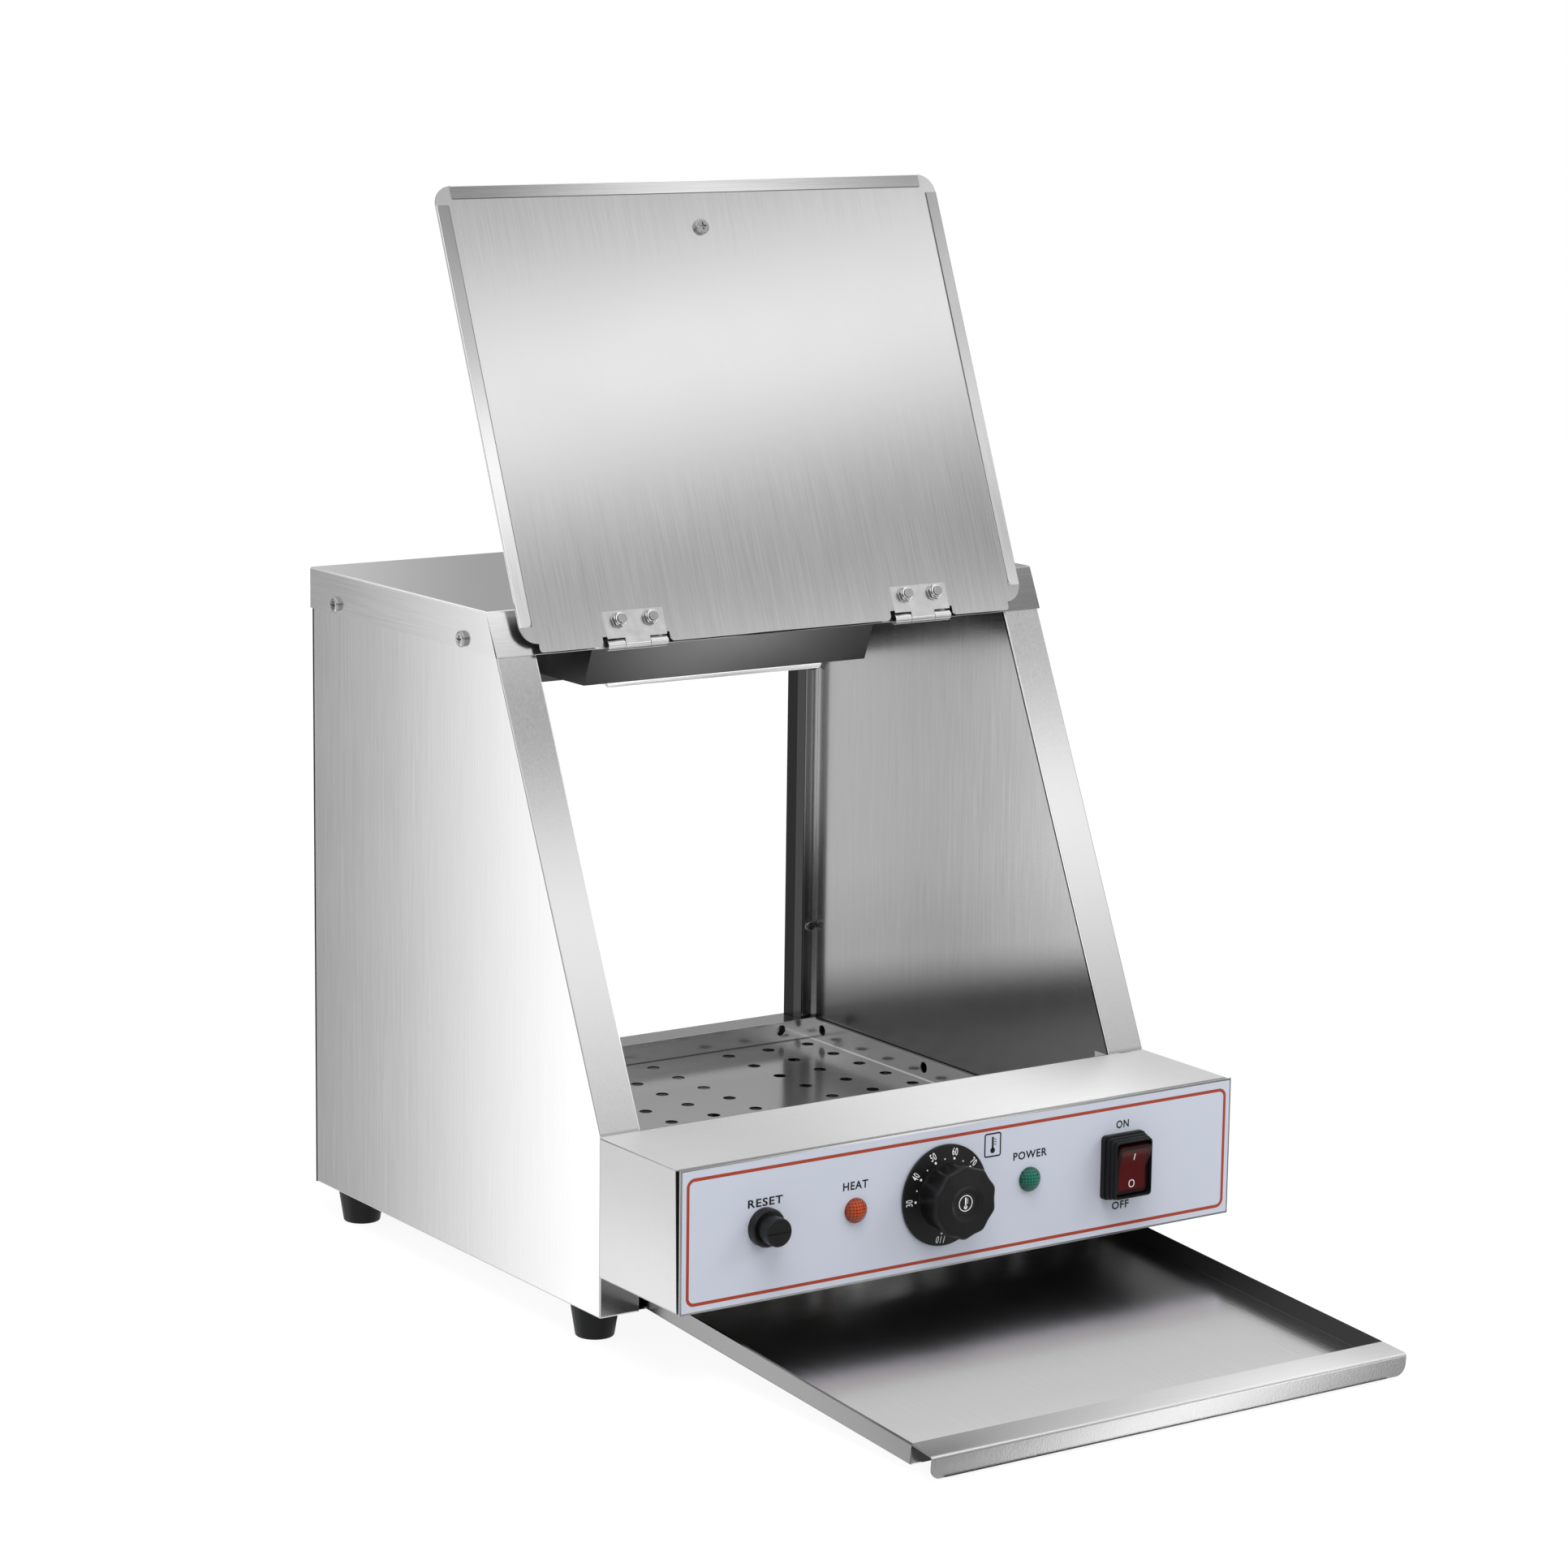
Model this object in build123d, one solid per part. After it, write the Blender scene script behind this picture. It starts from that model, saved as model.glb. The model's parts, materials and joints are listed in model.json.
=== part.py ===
from build123d import *
import os
from math import cos, radians, sin, tan

# A counter-top chip scuttle, piece by piece, in millimetres.
# +X is to the right, +Y to the back and +Z up. The table is at Z = 0.
# It stands with its lid open and its crumb tray drawn out.
# Until the last lines, Y = 0 is the upright front face of the cabinet.

# Cabinet
BODY_WIDTH = 380.0
BODY_DEPTH = 327.0
BODY_HEIGHT = 379.4
FRONT_HEIGHT = 104.9
SLOPE_ANGLE = 24.27
POST_WIDTH = 25.0
COVER_FLANGE = 24.7
SHEET = 0.8
FOLD_GAP = 0.1
LINER_INSET = 0.3
LINER_END_GAP = 4.2

# Rear frame
WINDOW_SIDE_MARGIN = 10.0
WINDOW_SILL = 62.0
WINDOW_TOP_MARGIN = 79.4
JAMB_DEPTH = 18.0
JAMB_LIP = 10.0
REAR_POST_LEG = 24.0

# Control box
BOX_DEPTH = 77.6
BOX_BOTTOM = 23.8
BOX_TOP_STEP = 0.9
BOX_LIP = 20.0
FASCIA_PROJECTION = 3.9
FASCIA_OVERHANG = 0.5
FASCIA_RETURN = 18.0
OVERLAY_THICKNESS = 0.3
OVERLAY_MARGIN = 1.3
WALL_TAB = 12.0

# Controls, placed on the fascia from its ends and from the top of the box
CONTROL_DROP = 38.5
CONTROL_SPACING = 60.0
RESET_INSET = 54.0
ROCKER_INSET = 80.0
ROCKER_DROP = 39.5
PANEL_CLEARANCE = 0.2
RUNNING_GAP = 0.05

KNOB_SKIRT_DIAMETER = 58.2
KNOB_SKIRT_THICKNESS = 3.0
KNOB_GRIP_DIAMETER = 42.4
KNOB_GRIP_BASE_DIAMETER = 33.0
KNOB_HEIGHT = 22.0
KNOB_SCALLOPS = 10
KNOB_SCALLOP_DEPTH = 1.2
KNOB_SCALLOP_RADIUS = 7.0
KNOB_CROWN_BEVEL = 3.0
KNOB_DISH_DIAMETER = 21.0
KNOB_DISH_FLOOR = 13.0
KNOB_DISH_DEPTH = 1.5
KNOB_STANDOFF = 0.6
SHAFT_DIAMETER = 6.0
SHAFT_IN_BODY = 14.0
SHAFT_IN_KNOB = 16.0
THERMOSTAT_SIZE = 44.0
THERMOSTAT_DEPTH = 32.0
BULB_DIAMETER = 6.0
BULB_FRONT_OVERHANG = 20.0
BULB_REAR_OVERHANG = 5.0
CAPILLARY_DIAMETER = 2.0
CAPILLARY_BEND = 12.0

RESET_COLLAR_DIAMETER = 21.8
RESET_COLLAR_THICKNESS = 5.0
RESET_CAP_DIAMETER = 16.2
RESET_CAP_PROJECTION = 15.0
RESET_CAP_ROUND = 1.0
RESET_TRAVEL = 2.5
RESET_STEM_DIAMETER = 6.0
RESET_STEM_REACH = 10.0
CUTOUT_SIZE = 28.0
CUTOUT_DEPTH = 30.0

LENS_DIAMETER = 14.2
LENS_HEIGHT = 5.2
LENS_RIM = 1.6
LAMP_BODY_DIAMETER = 11.6
LAMP_BODY_LENGTH = 24.0
LAMP_CLIP_DIAMETER = 16.0
LAMP_CLIP_THICKNESS = 1.6

ROCKER_FRAME_WIDTH = 29.6
ROCKER_FRAME_HEIGHT = 37.5
ROCKER_FRAME_BASE = 6.0
ROCKER_FRAME_STEP = 0.6
ROCKER_FRAME_TOP = 11.0
ROCKER_FRAME_ROUND = 2.5
ROCKER_WALL = 1.7
ROCKER_BODY_DEPTH = 24.0
PADDLE_WIDTH = 23.6
PADDLE_HEIGHT = 29.0
PADDLE_CLEARANCE = 0.8
PADDLE_END_RISE = 5.0
PADDLE_MIDDLE_RISE = 2.6
PADDLE_BACK = 3.0
PADDLE_TILT = 8.0
PADDLE_AXLE_DIAMETER = 2.4
PADDLE_AXLE_REACH = 1.2
PADDLE_AXIS_STANDOFF = 8.2

TERMINAL_LENGTH = 48.0
TERMINAL_DEPTH = 20.0
TERMINAL_HEIGHT = 17.0
TERMINAL_WAYS = 4
TERMINAL_X = 40.0
TERMINAL_Y = -36.0
TERMINAL_SCREW_DIAMETER = 5.0

# Lid and hinges
LID_LEAN = 22.0
LID_SIDE_INSET = 14.7
LID_BOTTOM_INSET = 11.2
LID_BOTTOM_STEP = 5.0
LID_TOP_CORNER = 11.5
LID_HEM = 7.7
LID_HEM_START = 14.8
LID_BELOW_PIN = 0.6
LID_NOTCH_WIDTH = 45.0
LID_NOTCH_HEIGHT = 5.5
HINGE_INSET = 90.0
HINGE_LENGTH = 40.0
HINGE_MIDDLE_KNUCKLE = 16.6
KNUCKLE_GAP = 0.3
BARREL_DIAMETER = 6.0
PIN_DIAMETER = 3.0
LEAF_THICKNESS = 1.2
LEAF_HEIGHT = 19.2
LEAF_BOLT_SPACING = 21.2
LEAF_BOLT_HEIGHT = 13.6
KNUCKLE_LIFT = 0.3
LID_STOP_GAP = 0.1
LID_SCREW_FROM_END = 29.0
LID_KNOB_DIAMETER = 32.0
LID_KNOB_NECK_DIAMETER = 15.0
LID_KNOB_HEIGHT = 27.0
LID_KNOB_CROWN = 11.0
LID_KNOB_RIM = 2.0
LID_KNOB_UNDERSIDE_DIAMETER = 26.0
LID_KNOB_THREAD = 13.5

# Fasteners
BOLT_DIAMETER = 5.0
BOLT_HEAD_DIAMETER = 9.4
BOLT_HEAD_HEIGHT = 2.8
NUT_FLATS = 8.0
NUT_HEIGHT = 4.0
BOLT_TAIL = 1.6
HEAD_ROUND = 1.4
SMALL_SCREW_DIAMETER = 4.0
SMALL_HEAD_DIAMETER = 7.6
SMALL_HEAD_HEIGHT = 2.4
SCREW_LENGTH = 8.0
HOLE_CLEARANCE = 0.2
RECESS_WIDTH = 1.0
RECESS_LENGTH = 4.6
RECESS_DEPTH = 1.4

COVER_SCREW_RISE = 6.0
COVER_SCREW_FRONT_INSET = 32.5
COVER_SCREW_REAR_INSET = 31.3
FASCIA_SCREW_DROP = 37.0
FASCIA_SCREW_SETBACK = 7.0
REAR_SCREW_RISE = 60.0
REAR_SCREW_DROP = 49.4
JAMB_SCREW_ABOVE_SILL = 61.4
JAMB_SCREW_BELOW_HEAD = 5.0
BOX_SCREW_INSET = 16.0

# Perforated plate and base heater
PLATE_HEIGHT = 50.0
PLATE_SIDE_GAP = 3.7
PLATE_FRONT = 14.0
PLATE_REAR_GAP = 3.2
PLATE_UPSTAND = 13.0
HOLE_DIAMETER = 8.0
HOLE_PITCH_X = 30.5
HOLE_PITCH_Y = 28.9
HOLE_SIDE_MARGIN = 12.0
HOLE_GROUPS = 3
HOLES_PER_GROUP = 3
HOLE_REAR_MARGIN = 14.6
HOLE_FRONT_MARGIN = 12.0
UPSTAND_HOLE_DIAMETER = 7.0
UPSTAND_HOLE_DROP = 5.5
UPSTAND_SIDE_HOLES = 3
UPSTAND_FRONT_MARGIN = 53.2
UPSTAND_HOLE_INSET = 23.4
LEDGE_WIDTH = 13.0
LEDGE_RISE = 10.0
LEDGE_END_GAP = 2.0
HEATER_DIAMETER = 6.6
HEATER_DROP = 10.0
HEATER_RUNS = 4
HEATER_RUN_SPACING = 60.0
HEATER_BEND = 26.0
HEATER_REAR_GAP = 65.0
HEATER_FRONT = 70.0
HEATER_TERMINAL_REACH = 24.0
HEATER_TERMINAL_DIAMETER = 4.0
HEATER_TERMINAL_LENGTH = 10.0
BRACKET_WIDTH = 12.0
BRACKET_TAB = 9.0
BRACKET_FRONT = 100.0
BRACKET_BEFORE_BEND = 25.0

# Heat lamp under the top
LAMP_HOUSING_LENGTH = 199.4
LAMP_HOUSING_DROP = 55.9
LAMP_HOUSING_SETBACK = 41.83
LAMP_HOUSING_MOUTH = 70.0
LAMP_HOUSING_LEAN = 21.3
BEZEL_LENGTH = 154.0
BEZEL_WIDTH = 48.0
BEZEL_DROP = 5.6
BEZEL_ROUND = 3.0
BEZEL_RIM = 6.0
GLASS_THICKNESS = 3.0
GLASS_SEAT = 2.5
REFLECTOR_RADIUS = 25.0
REFLECTOR_LENGTH = 146.0
LAMP_TUBE_DIAMETER = 10.0
LAMP_TUBE_LENGTH = 110.0
LAMP_TUBE_RISE = 13.0
LAMP_PIN_DIAMETER = 4.0
HOLDER_LENGTH = 12.0
HOLDER_SIZE = 16.0

# Crumb tray
TRAY_PITCH = 3.6
TRAY_SIDE_GAP = 3.6
TRAY_REAR_GAP = 3.3
TRAY_STAND_OUT = 63.3
TRAY_DRAWN = 254.1
TRAY_WALL = 11.9
TRAY_RISE = 1.4
TRAY_HANDLE_INSET = 0.1
TRAY_HANDLE_DEPTH = 18.2
TRAY_HANDLE_DROOP = 2.6
TRAY_LIP = 12.7
TRAY_LIP_CORNER = 6.0
RUNNER_LEDGE = 13.0
RUNNER_GUARD = 8.0
RUNNER_UNDER_GAP = 0.3
RUNNER_OVER_GAP = 0.8
RUNNER_FRONT = 2.0
RUNNER_REAR_GAP = 1.0

# Feet and cable gland
FOOT_HEIGHT = 19.0
FOOT_TOP_DIAMETER = 28.0
FOOT_BOTTOM_DIAMETER = 22.0
FOOT_RECESS_DIAMETER = 12.0
FOOT_RECESS_DEPTH = 11.0
FOOT_INSET_SIDE = 15.0
FOOT_INSET_FRONT = 29.0
FOOT_INSET_REAR = 29.5
FOOT_EDGE_ROUND = 1.0
GLAND_INSET = 70.0
GLAND_HEIGHT = 36.0
GLAND_FLATS = 22.0
GLAND_HEX_LENGTH = 6.0
GLAND_DOME_DIAMETER = 18.0
GLAND_DOME_LENGTH = 10.0
GLAND_DOME_ROUND = 3.5
GLAND_THREAD_DIAMETER = 16.0
GLAND_THREAD_LENGTH = 10.0
GLAND_BORE = 8.0
GLAND_NUT_HEIGHT = 4.0

OVERCUT = 1.0

# Places worked out from the sizes above
slope = radians(SLOPE_ANGLE)
lean = radians(LID_LEAN)
half_width = BODY_WIDTH / 2
base_z = FOOT_HEIGHT
top_z = base_z + BODY_HEIGHT
panel_top_z = top_z - SHEET - FOLD_GAP
slope_foot_z = base_z + FRONT_HEIGHT
cover_bottom_z = top_z - COVER_FLANGE
cover_skin = FOLD_GAP + SHEET
post_inner_x = half_width - POST_WIDTH
liner_face_x = post_inner_x - SHEET
rear_face_y = BODY_DEPTH + SHEET
jamb_front_y = BODY_DEPTH - JAMB_DEPTH
liner_rear_y = jamb_front_y - SHEET - LINER_END_GAP
window_half = post_inner_x - WINDOW_SIDE_MARGIN
window_sill_z = base_z + WINDOW_SILL
window_head_z = top_z - WINDOW_TOP_MARGIN

box_half = half_width + SHEET
box_top_z = slope_foot_z - BOX_TOP_STEP
box_bottom_z = base_z + BOX_BOTTOM
fascia_front_y = -BOX_DEPTH - FASCIA_PROJECTION
fascia_back_y = fascia_front_y + SHEET
overlay_front_y = fascia_front_y - OVERLAY_THICKNESS
panel_depth = SHEET + OVERLAY_THICKNESS
control_z = box_top_z - CONTROL_DROP
rocker_z = box_top_z - ROCKER_DROP
reset_x = RESET_INSET - half_width
heat_lamp_x = reset_x + CONTROL_SPACING
knob_x = heat_lamp_x + CONTROL_SPACING
power_lamp_x = knob_x + CONTROL_SPACING
rocker_x = half_width - ROCKER_INSET

barrel_radius = BARREL_DIAMETER / 2
pin_along_slope = (cover_bottom_z - slope_foot_z) / cos(slope)
pin_off_slope = cover_skin + barrel_radius + KNUCKLE_LIFT
slope_plane = Plane(origin=(0, 0, slope_foot_z), x_dir=(1, 0, 0), z_dir=(0, -cos(slope), sin(slope)))
pin_centre = slope_plane.from_local_coords((0, pin_along_slope, pin_off_slope))
fixed_plane = Plane(origin=pin_centre, x_dir=(1, 0, 0), z_dir=(0, -cos(slope), sin(slope)))
lid_plane = Plane(origin=pin_centre, x_dir=(1, 0, 0), z_dir=(0, -cos(lean), sin(lean)))
lid_face = barrel_radius - LEAF_THICKNESS
lid_back = lid_face - SHEET
lid_foot = -LID_BELOW_PIN
lid_end = lid_foot + pin_along_slope
lid_half = half_width - LID_SIDE_INSET
lid_screw_v = lid_end - LID_SCREW_FROM_END
fixed_leaf_back = -barrel_radius - KNUCKLE_LIFT
fixed_leaf_face = fixed_leaf_back + LEAF_THICKNESS
stop_reach = (LEAF_BOLT_HEIGHT - BOLT_HEAD_DIAMETER / 2) * sin(slope - lean)
lid_bolt_head = lid_back - fixed_leaf_face + stop_reach - LID_STOP_GAP
hinge_places = (HINGE_INSET - half_width, half_width - HINGE_INSET)
bolt_offsets = (-LEAF_BOLT_SPACING / 2, LEAF_BOLT_SPACING / 2)

plate_z = base_z + PLATE_HEIGHT
plate_half = liner_face_x - PLATE_SIDE_GAP
plate_rear = jamb_front_y - SHEET - PLATE_REAR_GAP
heater_z = plate_z - SHEET - HEATER_DROP
bracket_top_z = heater_z - HEATER_DIAMETER / 2
heater_offsets = [(run - (HEATER_RUNS - 1) / 2) * HEATER_RUN_SPACING for run in range(HEATER_RUNS)]
heater_rear = plate_rear - HEATER_REAR_GAP
bracket_places = (BRACKET_FRONT, heater_rear - BRACKET_BEFORE_BEND)
bulb_z = bracket_top_z - SHEET - BULB_DIAMETER / 2
bulb_front = bracket_places[0] - BULB_FRONT_OVERHANG
bulb_rear = bracket_places[1] + BULB_REAR_OVERHANG

lamp_bottom_z = top_z - LAMP_HOUSING_DROP
lamp_front_y = (top_z - slope_foot_z) * tan(slope) + LAMP_HOUSING_SETBACK
lamp_centre_y = lamp_front_y + LAMP_HOUSING_MOUTH / 2
lamp_floor_z = lamp_bottom_z + SHEET
lamp_tube_z = lamp_floor_z + LAMP_TUBE_RISE

pitch = radians(TRAY_PITCH)
tray_plane = Plane(origin=(0, 0, base_z + TRAY_RISE), x_dir=(1, 0, 0), z_dir=(0, -sin(pitch), cos(pitch)))
tray_half = liner_face_x - TRAY_SIDE_GAP
runner_rear = liner_rear_y - RUNNER_REAR_GAP
tray_length = runner_rear - TRAY_REAR_GAP + TRAY_STAND_OUT

# Helpers for plain shapes
SITTING = (Align.CENTER, Align.CENTER, Align.MIN)
HANGING = (Align.CENTER, Align.CENTER, Align.MAX)
BOTH_SIDES = (-1, 1)


def block(x0, x1, y0, y1, z0, z1):
    """A box between two opposite corners."""
    middle = Pos((x0 + x1) / 2, (y0 + y1) / 2, (z0 + z1) / 2)
    return middle * Box(x1 - x0, y1 - y0, z1 - z0)


def rod(diameter, start, end):
    """A round bar from one point to another."""
    line = Vector(end) - Vector(start)
    return Plane(origin=start, z_dir=line).location * Cylinder(diameter / 2, line.length, align=SITTING)


def stretch_x(face, x0, x1):
    """A solid whose section across X is a face drawn in (y, z)."""
    section = Plane(origin=(x0, 0, 0), x_dir=(0, 1, 0), z_dir=(1, 0, 0)) * face
    return extrude(section, x1 - x0, dir=(1, 0, 0))


def polygon(points):
    """A flat face with straight edges."""
    return make_face(Polyline(*points, close=True))


def turned(points):
    """A solid turned about its Z axis from an outline of (radius, height) points."""
    return revolve(Plane.XZ * polygon(points), axis=Axis.Z)


def domed(diameter, rim, height):
    """A round button with upright sides up to its rim and a spherical top."""
    rise = height - rim
    ball = (diameter ** 2 / 4 + rise ** 2) / (2 * rise)
    return Cylinder(diameter / 2, height, align=SITTING) & Pos(0, 0, height - ball) * Sphere(ball)


def facing(at, towards):
    """A place whose Z axis points out of the surface that it lies on."""
    return Plane(origin=at, z_dir=towards).location


def on_fascia(x, z):
    """A place on the overlay, with X to the right, Y up and Z out towards the user."""
    return Plane(origin=(x, overlay_front_y, z), x_dir=(1, 0, 0), z_dir=(0, -1, 0)).location


def drilled(piece, places, diameter, depth=SCREW_LENGTH):
    """The piece with a clearance hole through it at each place."""
    return piece - [place * Cylinder(diameter / 2 + HOLE_CLEARANCE, 2 * depth) for place in places]


def pan_screw(place, length, diameter, head_diameter, head_height):
    """A cross-head screw whose domed head stands on the place and whose shank goes below it."""
    head = Cylinder(head_diameter / 2, head_height, align=SITTING)
    head = fillet(head.edges().group_by(Axis.Z)[-1], HEAD_ROUND)
    cross = Box(RECESS_LENGTH, RECESS_WIDTH, RECESS_DEPTH) + Box(RECESS_WIDTH, RECESS_LENGTH, RECESS_DEPTH)
    head -= Pos(0, 0, head_height - RECESS_DEPTH / 2) * cross
    return place * (head + Cylinder(diameter / 2, length, align=HANGING))


def small_screw(place):
    return pan_screw(place, SCREW_LENGTH, SMALL_SCREW_DIAMETER, SMALL_HEAD_DIAMETER, SMALL_HEAD_HEIGHT)


def large_screw(place):
    return pan_screw(place, SCREW_LENGTH, BOLT_DIAMETER, BOLT_HEAD_DIAMETER, BOLT_HEAD_HEIGHT)


def hex_nut(place, flats, height, hole):
    """A hexagon nut that stands on the place."""
    nut = extrude(RegularPolygon(flats / 2, 6, major_radius=False), height)
    nut -= Cylinder(hole / 2 + HOLE_CLEARANCE, 3 * height)
    return place * nut


def slope_y(z, proud=0.0):
    """How far back the sloped front lies at a height, less what stands proud of it."""
    return (z - slope_foot_z) * tan(slope) - proud / cos(slope)


# Where the fasteners sit
def cover_screw_places():
    z = cover_bottom_z + COVER_SCREW_RISE
    x = half_width + cover_skin
    depths = (slope_y(z) + COVER_SCREW_FRONT_INSET, BODY_DEPTH - COVER_SCREW_REAR_INSET)
    return [facing((s * x, y, z), (s, 0, 0)) for s in BOTH_SIDES for y in depths]


def foot_places():
    x = half_width - FOOT_INSET_SIDE
    depths = (FOOT_INSET_FRONT, BODY_DEPTH - FOOT_INSET_REAR)
    return [facing((s * x, y, base_z), (0, 0, -1)) for s in BOTH_SIDES for y in depths]


def box_screw_places():
    x = half_width - POST_WIDTH / 2
    heights = (box_bottom_z + BOX_SCREW_INSET, box_top_z - BOX_SCREW_INSET)
    return [facing((s * x, -SHEET, z), (0, -1, 0)) for s in BOTH_SIDES for z in heights]


def fascia_screw_place():
    """The one screw of the fascia, in the right-hand side of the case."""
    y = -BOX_DEPTH + FASCIA_SCREW_SETBACK
    z = box_top_z - FASCIA_SCREW_DROP
    return facing((box_half, y, z), (1, 0, 0))


def rear_screw_places():
    x = half_width - POST_WIDTH / 2
    low = base_z + REAR_SCREW_RISE
    high = top_z - REAR_SCREW_DROP
    heights = (low, (low + high) / 2, high)
    return [facing((s * x, rear_face_y, z), (0, 1, 0)) for s in BOTH_SIDES for z in heights]


def jamb_screw_places():
    x = (window_half + SHEET + post_inner_x) / 2
    y = jamb_front_y - SHEET
    heights = (window_sill_z + JAMB_SCREW_ABOVE_SILL, window_head_z - JAMB_SCREW_BELOW_HEAD)
    return [facing((s * x, y, z), (0, -1, 0)) for s in BOTH_SIDES for z in heights]


def frame_screw_places():
    """Every small screw that holds the cabinet, the rear frame and the control box together."""
    return box_screw_places() + rear_screw_places() + jamb_screw_places()


def hinge_bolt_points():
    """Where the bolts of the leaves lie, along X and up from the pin."""
    return [(middle + shift, LEAF_BOLT_HEIGHT) for middle in hinge_places for shift in bolt_offsets]


# Cabinet
def side_face():
    corners = [(0, base_z), (BODY_DEPTH, base_z), (BODY_DEPTH, panel_top_z)]
    corners += [(slope_y(panel_top_z), panel_top_z), (0, slope_foot_z)]
    return polygon(corners)


def side_panel():
    """The left outer skin, folded in all round: its front fold is the post beside the hatch."""
    panel = stretch_x(side_face(), -half_width, -post_inner_x)
    hollow = offset(side_face(), -SHEET, kind=Kind.INTERSECTION)
    panel -= stretch_x(hollow, -half_width + SHEET, -post_inner_x)
    panel = drilled(panel, cover_screw_places(), BOLT_DIAMETER)
    panel = drilled(panel, foot_places(), BOLT_DIAMETER)
    panel = drilled(panel, box_screw_places(), SMALL_SCREW_DIAMETER)
    return drilled(panel, rear_screw_places(), SMALL_SCREW_DIAMETER)


def liner():
    """The left inner skin, flat against the folds of the side panel."""
    sheet = stretch_x(offset(side_face(), -LINER_INSET, kind=Kind.INTERSECTION), -post_inner_x, -liner_face_x)
    return sheet & block(-half_width, 0, -OVERCUT, liner_rear_y, 0, top_z)


def rear_frame():
    """The back skin with its open window, whose edges turn in as a jamb and end in a lip."""
    half = window_half
    sill_z = window_sill_z
    head_z = window_head_z
    lip_half = post_inner_x - FOLD_GAP
    skin = block(-half_width, half_width, BODY_DEPTH, rear_face_y, base_z, panel_top_z)
    jamb = block(-half - SHEET, half + SHEET, jamb_front_y, rear_face_y, sill_z - SHEET, head_z + SHEET)
    lip = block(-lip_half, lip_half, jamb_front_y - SHEET, jamb_front_y, sill_z - JAMB_LIP, head_z + JAMB_LIP)
    window = block(-half, half, jamb_front_y - 2 * SHEET, rear_face_y + SHEET, sill_z, head_z)
    frame = skin + jamb + lip - window
    frame = drilled(frame, rear_screw_places(), SMALL_SCREW_DIAMETER)
    frame = drilled(frame, jamb_screw_places(), SMALL_SCREW_DIAMETER, SMALL_SCREW_DIAMETER)
    return drilled(frame, [gland_place()], GLAND_THREAD_DIAMETER)


def rear_post():
    """The left angle that ties the liner to the lip of the rear frame."""
    outer = -post_inner_x - SHEET
    low = base_z + SHEET
    high = panel_top_z - SHEET
    edge = -window_half - SHEET - FOLD_GAP
    back = block(outer, edge, jamb_front_y, jamb_front_y + SHEET, low, high)
    side = block(outer, -post_inner_x, jamb_front_y + SHEET - REAR_POST_LEG, jamb_front_y + SHEET, low, high)
    return drilled(back + side, jamb_screw_places(), SMALL_SCREW_DIAMETER)


def top_cover():
    """The top with its four turned-down edges. The front one lies on the slope and carries the hinges."""
    low = cover_bottom_z
    half = half_width + cover_skin
    rear = rear_face_y + cover_skin
    outer = [(slope_y(low, cover_skin), low), (rear, low), (rear, top_z), (slope_y(top_z, cover_skin), top_z)]
    under = top_z - SHEET
    below = low - SHEET
    rear_inside = rear_face_y + FOLD_GAP
    inner = [(slope_y(below, FOLD_GAP), below), (rear_inside, below)]
    inner += [(rear_inside, under), (slope_y(under, FOLD_GAP), under)]
    cover = stretch_x(polygon(outer), -half, half)
    cover -= stretch_x(polygon(inner), -half + SHEET, half - SHEET)
    cover = drilled(cover, cover_screw_places(), BOLT_DIAMETER)
    return drilled(cover, fixed_screw_places(), SMALL_SCREW_DIAMETER)


def front_wall():
    """The wall between the hatch and the control box, with a tab along each liner."""
    wall = block(-liner_face_x, liner_face_x, 0, SHEET, box_bottom_z, box_top_z)
    for side in BOTH_SIDES:
        tab = block(liner_face_x - SHEET, liner_face_x, 0, WALL_TAB, box_bottom_z, box_top_z)
        wall += tab if side > 0 else mirror(tab, about=Plane.YZ)
    ends = [facing((x, 0, heater_z), (0, -1, 0)) for x in (heater_offsets[0], heater_offsets[-1])]
    wall = drilled(wall, ends, HEATER_DIAMETER, SHEET)
    return drilled(wall, [facing((knob_x, 0, bulb_z), (0, -1, 0))], CAPILLARY_DIAMETER, SHEET)


# Control box
def box_shell():
    """The folded case of the control box, open towards the fascia and the cabinet."""
    shell = block(-box_half, box_half, -BOX_DEPTH, 0, box_bottom_z, box_top_z)
    inside = box_half - SHEET
    shell -= block(-inside, inside, -BOX_DEPTH - OVERCUT, OVERCUT, box_bottom_z + SHEET, box_top_z - SHEET)
    for side in BOTH_SIDES:
        lip = block(box_half - BOX_LIP, inside, -SHEET, 0, box_bottom_z, box_top_z)
        shell += lip if side > 0 else mirror(lip, about=Plane.YZ)
    shell = drilled(shell, box_screw_places(), SMALL_SCREW_DIAMETER)
    return drilled(shell, [fascia_screw_place()], SMALL_SCREW_DIAMETER)


def control_holes():
    """What the controls cut out of the fascia and its overlay."""
    through = 3 * panel_depth
    rounds = {
        reset_x: RESET_STEM_DIAMETER,
        heat_lamp_x: LAMP_BODY_DIAMETER,
        knob_x: SHAFT_DIAMETER,
        power_lamp_x: LAMP_BODY_DIAMETER,
    }
    holes = [on_fascia(x, control_z) * Cylinder(d / 2 + PANEL_CLEARANCE, through) for x, d in rounds.items()]
    width = rocker_body_width() + 2 * PANEL_CLEARANCE
    height = rocker_body_height() + 2 * PANEL_CLEARANCE
    return holes + [on_fascia(rocker_x, rocker_z) * Box(width, height, through)]


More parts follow.
